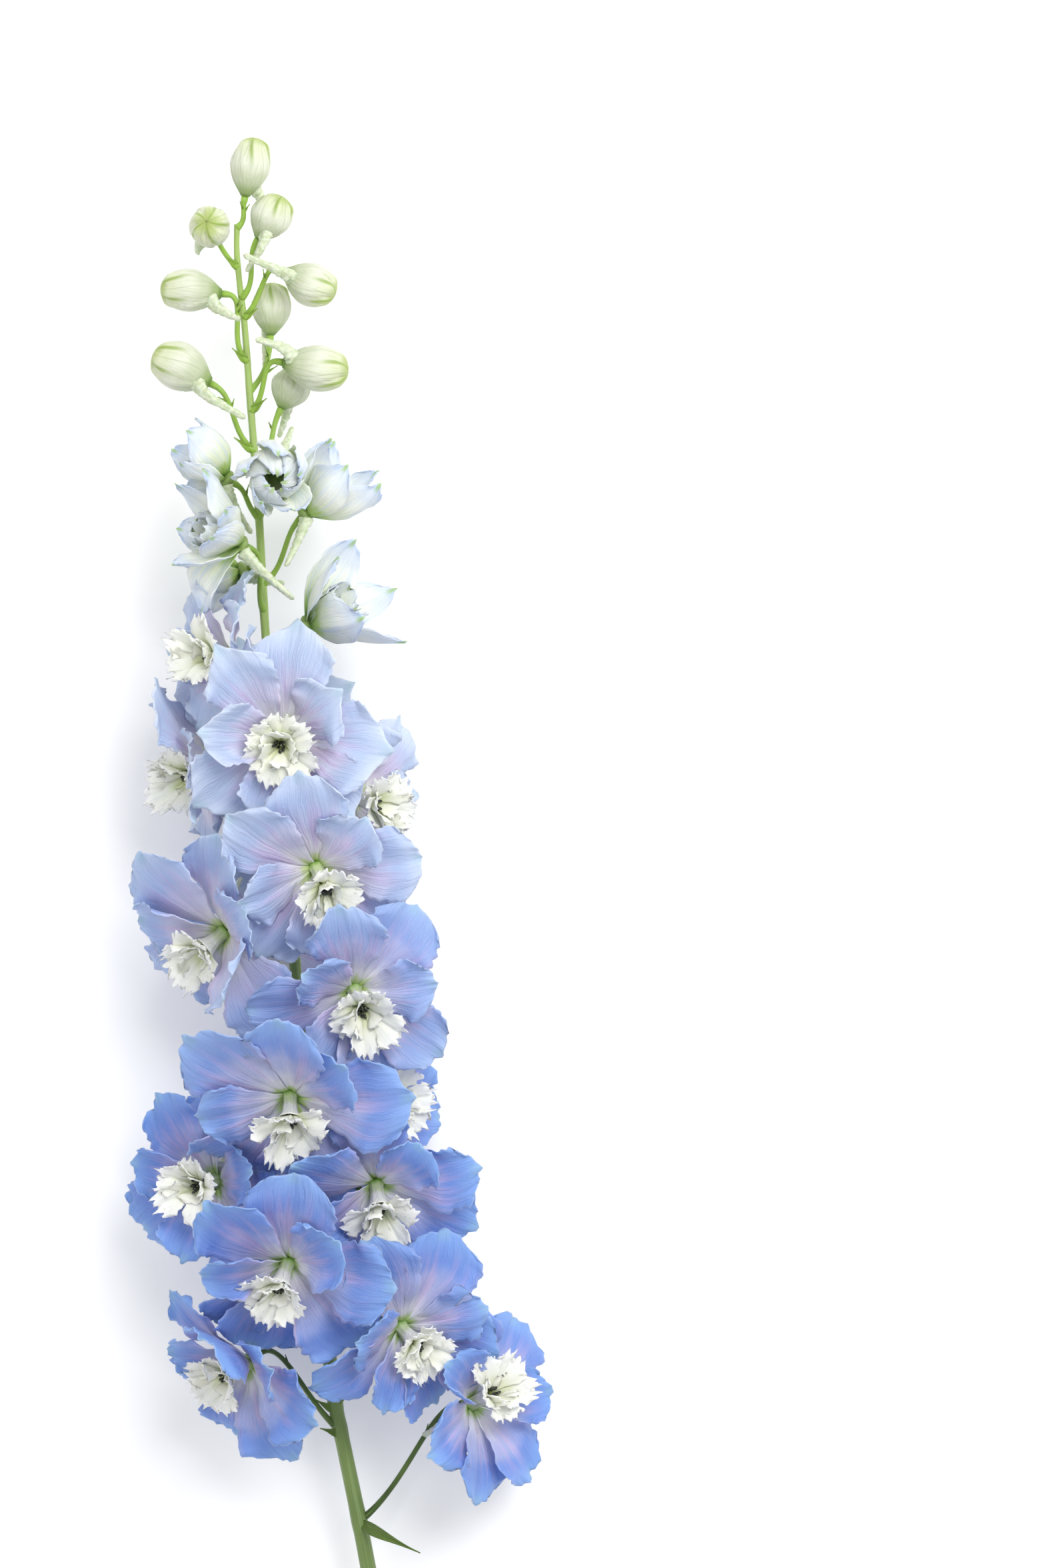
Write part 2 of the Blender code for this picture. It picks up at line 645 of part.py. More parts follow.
def hub_and_spur(bloom):
    """Points and faces of a flower's receptacle and spur, and the two rings that sepals grow from."""
    hub = Vector(bloom.hub)
    axes = flower_axes(bloom.facing)
    forward = axes[2]
    count = bloom.outer + bloom.inner
    corners = corner_angles(count, bloom.roll)
    grids = [
        ring_points(hub - forward * HUB_BACK, axes, HUB_BACK_RADIUS, side_angles(count, bloom.roll)),
        ring_points(hub - forward * HUB_FRONT, axes, HUB_RADIUS, corners),
        ring_points(hub + forward * HUB_FRONT, axes, HUB_RADIUS, corners),
    ]
    points = []
    back, low, high = numbered(grids, points)
    side = spur_side(bloom)
    faces = collar(back, low, high, side)
    a, b = 2 * side + 1, (2 * side + 2) % (2 * count)
    grow_spur(points, faces, (back[side], back[(side + 1) % count], low[b], low[a]), bloom)
    return points, faces, low, high


def flower_solid(bloom, blades):
    """A flower's receptacle with its sepals and spur grown from it, as one solid."""
    points, faces, low, high = hub_and_spur(bloom)
    axes = flower_axes(bloom.facing)
    for k, blade in enumerate(blades):
        a, b = 2 * k, 2 * k + 1
        grow_blade(points, faces, (low[a], low[b], high[a], high[b]), blade, Vector(bloom.hub), axes)
    return points, faces


def bud_solids(bud):
    """A closed bud of five ridged sepals, and its crinkled spur."""
    base = Vector(bud.base)
    tip = Vector(bud.tip)
    line = [base.lerp(tip, share) for share, size in BUD_RINGS]
    radii = [0.5 * bud.thick * size for share, size in BUD_RINGS]
    along = (tip - base).normalized()
    end = Vector(bud.spur_end)
    aside = end - base
    aside = (aside - along * aside.dot(along)).normalized()
    root = base + along * BUD_SPUR_ROOT + aside * (BUD_SPUR_ROOT_ASIDE * bud.thick)
    knee = base + along * 0.5 + aside * (BUD_SPUR_KNEE_ASIDE * bud.thick)
    spur_line = bezier(root, knee, knee.lerp(end, 0.5), end, len(BUD_SPUR_RADII) - 1)
    body = tube_solid(line, radii, BUD_SIDES, BUD_RIDGE)
    return [body, tube_solid(spur_line, BUD_SPUR_RADII, BUD_SPUR_SIDES)]


def pedicel_solid(joint_y, foot, arrive):
    """A flower's stalk: out of the stem, up along it, and into the flower's back."""
    start = stem_at(joint_y)
    span = (foot - start).length
    outward = foot - start
    outward.y = 0.0
    outward = outward.normalized() if outward.length > 0.5 else Vector((0.0, 0.0, 1.0))
    leave = (outward * 0.8 + Vector((0.0, 0.6, 0.0))).normalized()
    neck = foot - arrive * PEDICEL_NECK
    line = bezier(start, start + leave * (0.4 * span), neck - arrive * (0.3 * span), neck, PEDICEL_SEGMENTS)
    line.append(foot)
    neck_radius = 0.5 * (PEDICEL_RADIUS + PEDICEL_END_RADIUS)
    radii = [PEDICEL_RADIUS] * PEDICEL_SEGMENTS + [neck_radius, PEDICEL_END_RADIUS]
    return tube_solid(line, radii, PEDICEL_SIDES)


def bract_solid(place, direction, length):
    """A narrow pointed bract, rooted inside the stem."""
    half_width = BRACT_HALF_WIDTH * (1.0 + length / BRACT_LONGEST)
    blade = Blade(length, half_width, BRACT_ROOT_RISE, BRACT_TIP_RISE, turn=0.0, tilt=0.0, cup=0.2, wave=0.0,
                  phase=0.0, floor=0.2, rows=SEPAL_ROWS_FEW, root_radius=0.0, root_height=0.0)
    up = Vector(direction).normalized()
    forward = (Vector((0.0, 0.0, 1.0)) - up * up.z).normalized()
    return blade_solid(blade, (0.0,) + blade.rows, stem_at(place[1]), (up, up.cross(forward), forward))


def stem_solids():
    """The main axis, a pedicel to each flower and bud, and the bracts."""
    radii = [stem_radius(point.y) for point in STEM_POINTS]
    solids = [tube_solid(STEM_POINTS, radii, STEM_SIDES, start_side=Vector((0.0, 0.0, 1.0)))]
    for bloom in BLOOMS:
        forward = Vector(bloom.facing).normalized()
        foot = Vector(bloom.hub) - forward * (HUB_BACK + SEAT_GAP)
        solids.append(pedicel_solid(bloom.joint_y, foot, forward))
    for bud in BUDS:
        along = (Vector(bud.tip) - Vector(bud.base)).normalized()
        solids.append(pedicel_solid(bud.joint_y, Vector(bud.base) - along * SEAT_GAP, along))
    for bract in BRACTS:
        solids.append(bract_solid(*bract))
    return solids


def tree_and_box(solid):
    """Search tree of a solid's faces, and its corners."""
    points, faces = solid
    low = Vector([min(p[i] for p in points) for i in range(3)])
    high = Vector([max(p[i] for p in points) for i in range(3)])
    return BVHTree.FromPolygons(points, faces), low, high


def touches(one, other):
    """How many pairs of faces of two shapes cross."""
    if any(one[1][i] > other[2][i] or other[1][i] > one[2][i] for i in range(3)):
        return 0
    return len(one[0].overlap(other[0]))


def given_way(blade, bend, swing, shrink):
    """A blade that bends, swings aside and draws in by the given amounts."""
    return replace(blade, root_rise=blade.root_rise + 0.35 * bend, tip_rise=blade.tip_rise + 1.3 * bend,
                   turn=blade.turn + swing, length=blade.length * shrink,
                   half_width=blade.half_width * (0.5 + 0.5 * shrink))


def ways_to_give():
    """All ways in which a sepal may give way, the slightest first."""
    ways = [(b, s, k) for b in BENDS for s in SWINGS for k in SHRINKS]

    def cost(way):
        """How much a way changes the sepal."""
        bend, swing, shrink = way
        return abs(bend) * BEND_COST + abs(swing) * SWING_COST + (1.0 - shrink) * SHRINK_COST

    return sorted(ways, key=cost)


class Clearing:
    """Sepals that press on a neighbour give way, those of the lower-lying flower first."""

    def __init__(self, blooms, fixed):
        self.blooms = blooms
        self.fixed = fixed
        self.ways = ways_to_give()
        self.blades = {bloom.name: sepals_of(bloom) for bloom in blooms}
        self.bodies = {}
        self.bees = {}
        self.shapes = {}
        for bloom in blooms:
            self.bodies[bloom.name] = tree_and_box(hub_and_spur(bloom)[:2])
            self.bees[bloom.name] = [tree_and_box(bee_solid(bloom))] if bloom.bee else []
            for k, blade in enumerate(self.blades[bloom.name]):
                self.shapes[bloom.name, k] = self.shape(bloom, k, blade)

    def shape(self, bloom, k, blade):
        """Search shapes of one sepal on its root: a thick one for other flowers, a thin one for its own."""
        axes = flower_axes(bloom.facing)
        hub = Vector(bloom.hub)
        corners = corner_angles(bloom.outer + bloom.inner, bloom.roll)[2 * k:2 * k + 2]
        shapes = []
        for thick in (TEST_THICK, NEAR_THICK):
            points = []
            faces = []
            for height in (-HUB_FRONT, HUB_FRONT):
                points += ring_points(hub + axes[2] * height, axes, HUB_RADIUS, corners)
            grow_blade(points, faces, (0, 1, 2, 3), blade, hub, axes, thick)
            shapes.append(tree_and_box((points, faces)))
        return shapes

    def crossings(self, bloom, k, shape, yield_only):
        """How much a sepal crosses the fixed parts, its own flower and the others' sepals."""
        whole, near = shape
        total = sum(touches(whole, solid) for solid in self.fixed)
        total += touches(near, self.bodies[bloom.name])
        total += sum(touches(near, bee) for bee in self.bees[bloom.name])
        for i in range(len(self.blades[bloom.name])):
            if i != k:
                total += touches(near, self.shapes[bloom.name, i][1])
        for other in self.blooms:
            if other.name == bloom.name:
                continue
            total += touches(whole, self.bodies[other.name])
            total += sum(touches(whole, bee) for bee in self.bees[other.name])
            if yield_only and other.hub[2] < bloom.hub[2]:
                continue
            for i in range(len(self.blades[other.name])):
                total += touches(whole, self.shapes[other.name, i][0])
        return total

    def run(self):
        """Let the sepals give way, round by round, and return each flower's sepals."""
        order = sorted(self.blooms, key=lambda bloom: -bloom.hub[2])
        for step in range(ALL_ROUNDS):
            moved = 0
            yield_only = step < YIELD_ROUNDS
            for bloom in order:
                for k in range(len(self.blades[bloom.name])):
                    moved += self.settle(bloom, k, yield_only)
            if moved == 0 and not yield_only:
                break
        return self.blades

    def settle(self, bloom, k, yield_only):
        """Give one sepal the slightest change that clears it, or else clears most of it."""
        if self.crossings(bloom, k, self.shapes[bloom.name, k], yield_only) == 0:
            return 0
        start = sepals_of(bloom)[k]
        best = None
        for way in self.ways:
            blade = given_way(start, *way)
            shape = self.shape(bloom, k, blade)
            count = self.crossings(bloom, k, shape, yield_only)
            if best is None or count < best[0]:
                best = (count, blade, shape)
            if count == 0:
                break
        self.blades[bloom.name][k] = best[1]
        self.shapes[bloom.name, k] = best[2]
        return 1


def new_material(name, colour, roughness):
    """A plain finish for one kind of surface."""
    material = bpy.data.materials.new(name)
    material.use_nodes = True
    shader = material.node_tree.nodes["Principled BSDF"]
    shader.inputs["Base Color"].default_value = (*colour, 1.0)
    shader.inputs["Roughness"].default_value = roughness
    shader.inputs["Metallic"].default_value = 0.0
    return material


def new_object(name, solid, collection):
    """An object of one closed solid, its faces turned outwards."""
    points, faces = solid
    mesh = bpy.data.meshes.new(name)
    bm = bmesh.new()
    verts = [bm.verts.new(point * MM) for point in points]
    for face in faces:
        bm.faces.new([verts[i] for i in face])
    bmesh.ops.recalc_face_normals(bm, faces=bm.faces)
    bm.to_mesh(mesh)
    bm.free()
    item = bpy.data.objects.new(name, mesh)
    collection.objects.link(item)
    return item


def outer_shell(mesh):
    """Keep a mesh's largest shell: what fusing sealed inside and loose scraps go. True if it is closed."""
    bm = bmesh.new()
    bm.from_mesh(mesh)
    bmesh.ops.remove_doubles(bm, verts=bm.verts, dist=WELD)
    left = set(bm.faces)
    shells = []
    while left:
        shell = {left.pop()}
        front = list(shell)
        while front:
            near = {face for edge in front.pop().edges for face in edge.link_faces} & left
            left -= near
            shell |= near
            front += near
        shells.append(shell)
    largest = max(shells, key=lambda shell: sum(face.calc_area() for face in shell))
    scrap = [face for shell in shells if shell is not largest for face in shell]
    bmesh.ops.delete(bm, geom=scrap, context="FACES")
    closed = all(edge.is_manifold for edge in bm.edges)
    bm.to_mesh(mesh)
    bm.free()
    return closed


def united(item, group, solver):
    """Mesh of an object fused with a collection of pieces."""
    union = item.modifiers.new("union", "BOOLEAN")
    union.operation = "UNION"
    union.operand_type = "COLLECTION"
    union.collection = group
    union.solver = solver
    bpy.context.view_layer.update()
    seen = item.evaluated_get(bpy.context.evaluated_depsgraph_get())
    mesh = bpy.data.meshes.new_from_object(seen)
    item.modifiers.remove(union)
    return mesh


def fused(name, solids):
    """One object fused from closed solids, the first being what the others grow from."""
    scene_collection = bpy.context.scene.collection
    item = new_object(name, solids[0], scene_collection)
    group = bpy.data.collections.new(name + "_pieces")
    scene_collection.children.link(group)
    for i, solid in enumerate(solids[1:]):
        new_object(name + "_piece_" + str(i), solid, group)
    mesh = united(item, group, "EXACT")
    if not outer_shell(mesh):
        mesh = united(item, group, "MANIFOLD")
        outer_shell(mesh)
    for piece in list(group.objects):
        bpy.data.objects.remove(piece, do_unlink=True)
    bpy.data.collections.remove(group)
    mesh.name = name
    item.data = mesh
    return item


def carried(item, material, origin, parent):
    """Finish an object: its material, its origin where it is carried, and its parent."""
    place = Vector(origin) * MM
    item.data.transform(Matrix.Translation(-place))
    item.data.materials.clear()
    item.data.materials.append(material)
    item.location = place
    item.parent = parent


def build():
    """Model the spike."""
    for item in list(bpy.data.objects):
        bpy.data.objects.remove(item, do_unlink=True)

    petal_pale = new_material("petal_pale", (0.62, 0.68, 0.90), 0.5)
    petal_blue = new_material("petal_blue", (0.30, 0.44, 0.86), 0.5)
    bee_white = new_material("bee_white", (0.90, 0.90, 0.84), 0.6)
    bud_green = new_material("bud_green", (0.66, 0.76, 0.52), 0.5)
    stem_green = new_material("stem_green", (0.20, 0.36, 0.12), 0.5)

    spike = bpy.data.objects.new("spike", None)
    bpy.context.scene.collection.objects.link(spike)

    stem = stem_solids()
    solids = stem + [solid for bud in BUDS for solid in bud_solids(bud)]
    blades = Clearing(BLOOMS, [tree_and_box(solid) for solid in solids]).run()

    carried(fused("stem", stem), stem_green, STEM_LINE[0], spike)
    for bud in BUDS:
        carried(fused(bud.name, bud_solids(bud)), bud_green, bud.base, spike)
    scene_collection = bpy.context.scene.collection
    for bloom in BLOOMS:
        name = bloom.name + "_sepals" if bloom.bee else bloom.name
        flower = new_object(name, flower_solid(bloom, blades[bloom.name]), scene_collection)
        carried(flower, petal_pale if bloom.pale else petal_blue, bloom.hub, spike)
        if bloom.bee:
            bee = new_object(bloom.name + "_bee", bee_solid(bloom), scene_collection)
            carried(bee, bee_white, bloom.hub, spike)


if __name__ == "__main__":
    build()
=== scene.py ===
"""Looks of a cut delphinium spike that lies on its back: petals, bees, buds, stem and their finishes.

Layout values are millimetres and degrees, as in the part's own source, and turn into
metres where a mesh is made. +Y runs to the spike's tip, +Z up from the surface.
"""

from __future__ import annotations

import logging
import math
import random
import sys
from dataclasses import dataclass, field, replace
from enum import Enum
from functools import reduce
from typing import Callable, Sequence

import bmesh
import bpy
from mathutils import Matrix, Vector, noise
from mathutils.kdtree import KDTree

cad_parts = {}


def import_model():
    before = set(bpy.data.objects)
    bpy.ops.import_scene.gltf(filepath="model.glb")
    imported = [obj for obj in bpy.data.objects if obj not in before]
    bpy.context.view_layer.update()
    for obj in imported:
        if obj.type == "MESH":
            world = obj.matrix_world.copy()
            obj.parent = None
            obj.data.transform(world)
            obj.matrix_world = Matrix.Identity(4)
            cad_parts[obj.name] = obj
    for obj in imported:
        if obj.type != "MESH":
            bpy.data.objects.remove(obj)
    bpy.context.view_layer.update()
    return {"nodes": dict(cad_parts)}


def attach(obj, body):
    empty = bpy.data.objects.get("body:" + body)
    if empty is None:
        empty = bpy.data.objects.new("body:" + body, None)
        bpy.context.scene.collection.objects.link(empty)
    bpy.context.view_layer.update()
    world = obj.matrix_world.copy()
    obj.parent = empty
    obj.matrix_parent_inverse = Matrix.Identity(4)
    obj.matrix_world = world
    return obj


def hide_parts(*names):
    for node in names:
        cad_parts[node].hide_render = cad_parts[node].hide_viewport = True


MM = 0.001
BODY = "root"

log = logging.getLogger("spike")
Shape = Callable[[float, float], Vector]
Radius = Callable[[float, float], float]
Colour = tuple[int, int, int]

# Stem and bracts
STEM_LINE = (
    (22.0, -259.0, 2.8), (16.5, -215.0, 9.0), (9.4, -170.0, 15.5), (2.0, -132.0, 20.5),
    (-1.0, -114.0, 22.5), (-5.0, -70.0, 27.0), (-8.5, -25.0, 30.5), (-12.0, 15.0, 32.5),
    (-16.5, 65.0, 33.5), (-20.5, 111.0, 34.5), (-22.5, 148.0, 36.0), (-24.5, 174.0, 37.0),
    (-26.9, 206.0, 38.0), (-28.8, 222.0, 39.0), (-28.9, 234.0, 39.5),
)
STEM_ENDS_Y = (-259.0, 234.0)
STEM_THICK_CUT = 5.6
STEM_THICK_TIP = 1.7
STEM_STEP = 24.0
BRACT_HALF_WIDTH = 0.9
BRACT_LONGEST = 26.0
BRACT_RISES = (28.0, -12.0)

# Flowers
BLADE_THICK = 0.7
SEPAL_LENGTH = 30.0
SEPAL_HALF_WIDTH = 10.2
SEPAL_ROWS = (0.32, 0.62, 0.86, 1.0)
SEPAL_ROWS_FEW = (0.3, 0.7, 1.0)
SEPAL_ROOT_RADIUS = 3.1
ROOT_SHARE = 0.66
INNER_LENGTH_SHARE = 0.8
INNER_WIDTH_SHARE = 0.85
INNER_EXTRA_RISE = 16.0
BEHIND_RISES = (20.0, -14.0)
FLOOR_STEP = 0.9
HUB_RADIUS = 3.4
HUB_BACK_RADIUS = 2.1
HUB_BACK = 2.4
HUB_FRONT = 0.6
RECEPTACLE_CUTS = 6
RECEPTACLE_FORM = (
    (0.0, 0.7 * HUB_BACK_RADIUS), (0.4, 0.85 * HUB_RADIUS), (0.75, 0.8 * HUB_RADIUS), (1.0, 0.3 * HUB_RADIUS),
)
SPUR_LENGTH = 17.0
SPUR_RADII = (1.9, 0.9)
SPUR_BENDS = ((0.26, 0.30), (0.50, 0.80))
SPUR_SIDES = 18
SEAT_GAP = 0.3

# Bees, and how far their petals hang where they lean over
BEE_LENGTH = 15.0
BEE_LEAST_RISE = 3.0
BEE_PETAL_LENGTH = 10.5
BEE_PETAL_HALF_WIDTH = 3.3
BEE_PETAL_RISES = (58.0, 2.0)
BEE_THROAT_RADIUS = 1.1
BEE_MOUTH_RADIUS = 2.2
BEE_MOUTH_SHARE = 0.40
BEE_RIM = 1.1
HANG_RISES = (18.0, 56.0)
HANG_TILT = 36.0
LONGER_BELOW = 0.36
SHORTER_ABOVE = 0.28

# Buds
BUD_SPUR_RADII = (1.5, 0.7)
BUD_SPUR_ROOT = 3.0
BUD_SPUR_ASIDE = (0.2, 0.5)
BUD_SEPALS = 5
BUD_TWIST = 0.12
BUD_GRID = (70, 44)

# Ways in which a sepal gave way to its neighbours, the share of a bend that its root and tip take,
# and how close the frame's corners must lie to tell
BENDS = (0.0, -12.0, 12.0, -24.0, 24.0, -36.0, 36.0, -50.0, 50.0, -66.0, 66.0)
SWINGS = (0.0, -10.0, 10.0, -20.0, 20.0)
SHRINKS = (1.0, 0.86, 0.72, 0.58)
BEND_SHARES = (0.35, 1.3)
FIT_TOLERANCE = 0.03

# Fine sheets
SHEET_THICK = 0.28
INNER_TUCK = 10.0
SEPAL_GRID = (20, 30)
LYING_GRID = (16, 24)
YOUNG_GRID = (18, 26)
BEE_GRID = (26, 16)
INNER_BEE_GRID = (12, 12)
TRUMPET_GRID = (24, 12)
HEART_GRID = (10, 12)
BRACT_GRID = (6, 24)
BRACTEOLE_GRID = (4, 10)

# Where the blue of the florets starts below the tip, and over what height it deepens
BLUE_FROM_Y = 63.0
BLUE_OVER = 102.0


def sepal_width(u: float) -> float:
    """Share of an open sepal's full width at a share of its length, as on the part."""
    return math.sin(math.pi * (0.02 + 0.98 * u ** 2.1)) ** 0.85


def young_sepal_width(u: float) -> float:
    """The same for a sepal that still cups the flower."""
    return math.sin(math.pi * (0.08 + 0.92 * u ** 1.15)) ** 0.75


def petal_width(u: float) -> float:
    """The same for a petal of the bee."""
    return min(1.0, 0.12 + 1.45 * u) * (1.0 - 0.2 * u * u)


def full_sepal_width(u: float) -> float:
    """A real open sepal's outline: like the part's, with a claw broad enough to close the throat."""
    return math.sin(math.pi * (0.05 + 0.95 * u ** 1.75)) ** 0.82


def lance_width(u: float) -> float:
    """Outline of a bract: widest a quarter of the way up, and drawn out to a fine tip."""
    return math.sin(math.pi * (0.1 + 0.9 * min(u, 1.0) ** 0.62)) ** 1.7 + 0.05


class Slot(Enum):
    """The record's material slots."""

    PALE = "petal_pale"
    BLUE = "petal_blue"
    WHITE = "bee_white"
    BUD = "bud_green"
    STEM = "stem_green"


@dataclass(frozen=True)
class Opening:
    """Rise of a flower's sepals above its disc, how they curl, and their outline."""

    root_rise: float
    tip_rise: float
    cup: float
    tilt: float
    width: float
    outline: Callable[[float], float] = sepal_width


class Habit(Enum):
    """How far a flower has opened."""

    OPEN = Opening(36.0, -6.0, 0.10, 12.0, 1.0)
    FLAT = Opening(26.0, -10.0, 0.02, 10.0, 1.0)
    CUPPED = Opening(46.0, 66.0, 0.30, 24.0, 0.82, young_sepal_width)
    CLOSING = Opening(40.0, 98.0, 0.42, 26.0, 0.95, young_sepal_width)
    GLOBE = Opening(22.0, 122.0, 0.42, 26.0, 0.95, young_sepal_width)


@dataclass(frozen=True)
class Bloom:
    """A flower on its pedicel: an open floret with a bee, or an opening one without.

    Attributes:
        name: Its name on the part.
        hub: Middle of its disc.
        facing: Direction in which it looks.
        joint_y: Height at which its pedicel leaves the stem.
        habit: How far it has opened.
        length: Length of its outer sepals.
        outer: How many outer sepals it has.
        inner: How many inner sepals it has.
        roll: Turn of the flower about where it looks.
        bee: How far the bee leans across and up, seen from above; empty without a bee.
        bee_petals: How many outer petals the bee has.
        spur_turn: Side on which the spur leaves.
        spur_length: Length of the spur.
        pale: Whether its sepals are of the pale slot.
        behind: Turns of the sepals that only the fine flower has, behind the others.
        bee_reach: Length of the bee's fine petals against the part's.
    """

    name: str
    hub: tuple
    facing: tuple
    joint_y: float
    habit: Habit = Habit.OPEN
    length: float = SEPAL_LENGTH
    outer: int = 5
    inner: int = 3
    roll: float = 0.0
    bee: tuple = ()
    bee_petals: int = 5
    spur_turn: float = 0.0
    spur_length: float = SPUR_LENGTH
    pale: bool = False
    behind: tuple = ()
    bee_reach: float = 1.0

    @property
    def count(self) -> int:
        """How many sepals it has."""
        return self.outer + self.inner

    @property
    def under(self) -> bool:
        """Whether it looks down, so that the spike lies on it."""
        return self.facing[2] < 0.0


@dataclass(frozen=True)
class Bud:
    """A closed bud: where it starts and ends, its thickness, and the end of its spur."""

    name: str
    base: tuple
    tip: tuple
    thick: float
    spur_end: tuple
    joint_y: float


def lying(name: str, hub: tuple, facing: tuple, joint_y: float, length: float, roll: float,
          spur_length: float = 12.0, pale: bool = False) -> Bloom:
    """A floret that the spike lies on: flat, with one ring of sepals and four bee petals.

    Args:
        name: Its name on the part.
        hub: Middle of its disc.
        facing: Direction in which it looks.
        joint_y: Height at which its pedicel leaves the stem.
        length: Length of its sepals.
        roll: Turn of the flower about where it looks.
        spur_length: Length of the spur.
        pale: Whether its sepals are of the pale slot.

    Returns:
        Its layout, with the bee and the spur on the side to which it looks.
    """
    side = math.copysign(1.0, facing[0])
    return Bloom(name, hub, facing, joint_y, Habit.FLAT, length, 5, 0, roll, (2.0 * side, -4.0), 4,
                 -50.0 * side, spur_length, pale)


BLOOMS = (
    Bloom("floret_01", (-29.0, 103.0, 40.0), (-0.86, 0.10, 0.50), 84.0, length=26.0, roll=6.0,
          bee=(-13.5, 2.5), pale=True, spur_turn=-40.0),
    Bloom("floret_02", (-37.0, 72.0, 29.0), (-0.84, -0.28, 0.05), 58.0, length=27.0, inner=2, roll=20.0,
          bee=(-12.0, -6.0), pale=True),
    Bloom("floret_03", (-14.0, 80.5, 57.0), (-0.05, -0.16, 0.98), 62.0, roll=8.0, bee=(-1.5, -5.0),
          bee_petals=6, pale=True),
    Bloom("floret_04", (-4.5, 41.5, 58.0), (0.14, -0.44, 0.88), 18.0, roll=-12.0, bee=(5.0, -11.0)),
    Bloom("floret_05", (-32.0, 22.0, 46.0), (-0.52, -0.38, 0.76), -2.0, length=32.0, roll=14.0,
          bee=(-12.0, -10.0)),
    Bloom("floret_06", (6.5, 5.0, 53.0), (0.26, -0.40, 0.88), -20.0, length=29.0, roll=30.0,
          bee=(4.5, -10.0), spur_turn=40.0),
    Bloom("floret_07", (-12.0, -26.0, 61.0), (-0.02, -0.48, 0.87), -52.0, length=34.0, roll=-5.0,
          bee=(0.0, -13.0)),
    Bloom("floret_08", (-35.0, -53.0, 38.0), (-0.56, -0.12, 0.82), -72.0, length=29.0, roll=18.0,
          bee=(-9.5, -2.0)),
    Bloom("floret_09", (13.0, -53.0, 49.0), (0.18, -0.55, 0.81), -78.0, length=30.0, roll=-22.0,
          bee=(2.0, -13.0), spur_turn=30.0),
    Bloom("floret_10", (-13.0, -76.0, 54.0), (-0.06, -0.52, 0.85), -100.0, length=31.0, roll=4.0,
          bee=(-4.5, -12.5), behind=(203.0,)),
    Bloom("floret_11", (-25.0, -107.5, 36.0), (-0.60, -0.46, 0.64), -130.0, length=29.0, roll=28.0,
          bee=(-12.5, -6.5)),
    Bloom("floret_12", (20.0, -96.5, 40.0), (0.50, -0.42, 0.75), -122.0, length=30.0, roll=10.0,
          bee=(9.0, -9.0), bee_reach=0.8),
    Bloom("floret_13", (41.0, -121.0, 26.0), (0.66, 0.10, 0.70), -158.0, length=28.0, inner=2, roll=36.0,
          bee=(11.0, 6.0), spur_turn=-120.0),
    Bloom("floret_14", (9.5, -28.0, 33.0), (0.84, -0.12, 0.50), -48.0, length=27.0, inner=2, roll=2.0,
          bee=(12.5, -1.5)),
    Bloom("floret_15", (5.0, 62.0, 34.0), (0.84, -0.20, 0.42), 42.0, length=26.0, inner=2, roll=30.0,
          bee=(12.5, -3.0), pale=True),
    lying("floret_16", (-21.0, 84.0, 18.0), (-0.20, -0.32, -0.92), 76.0, 26.0, 10.0, pale=True),
    lying("floret_17", (-8.0, 52.0, 18.0), (0.18, -0.30, -0.93), 44.0, 26.0, -20.0),
    lying("floret_18", (-20.0, 20.0, 18.0), (-0.18, -0.30, -0.93), 12.0, 27.0, 30.0),
    lying("floret_19", (-3.5, -10.0, 18.0), (0.18, -0.30, -0.93), -18.0, 27.0, 0.0),
    lying("floret_20", (-15.0, -42.0, 16.0), (-0.18, -0.30, -0.93), -50.0, 27.0, 18.0, 11.0),
    lying("floret_21", (1.0, -73.0, 15.0), (0.18, -0.30, -0.93), -82.0, 27.0, -14.0, 10.0),
    Bloom("opening_01", (-32.5, 158.0, 40.0), (-0.82, 0.50, 0.20), 146.0, Habit.CLOSING, 19.0, 5, 0, -16.0,
          spur_turn=180.0, pale=True),
    Bloom("opening_02", (-17.8, 160.5, 45.5), (0.10, -0.30, 0.95), 146.0, Habit.GLOBE, 20.0, 5, 0, pale=True),
    Bloom("opening_03", (-8.0, 148.0, 38.0), (0.66, 0.72, 0.20), 126.0, Habit.CLOSING, 23.0, 5, 0, 40.0,
          spur_turn=200.0, pale=True),
    Bloom("opening_04", (-28.0, 138.0, 45.0), (-0.84, 0.36, 0.42), 118.0, Habit.CUPPED, 24.0, 5, 2, 12.0,
          spur_turn=115.0, spur_length=22.0, pale=True),
    Bloom("opening_05", (-28.5, 130.5, 26.0), (-0.94, -0.30, -0.16), 120.0, Habit.CLOSING, 17.0, 5, 0, 30.0,
          spur_turn=215.0, spur_length=12.0, pale=True),
    Bloom("opening_06", (-7.0, 114.5, 41.0), (0.80, 0.45, 0.38), 94.0, Habit.CUPPED, 27.0, 5, 0, 14.0,
          spur_turn=180.0, spur_length=19.0, pale=True),
)

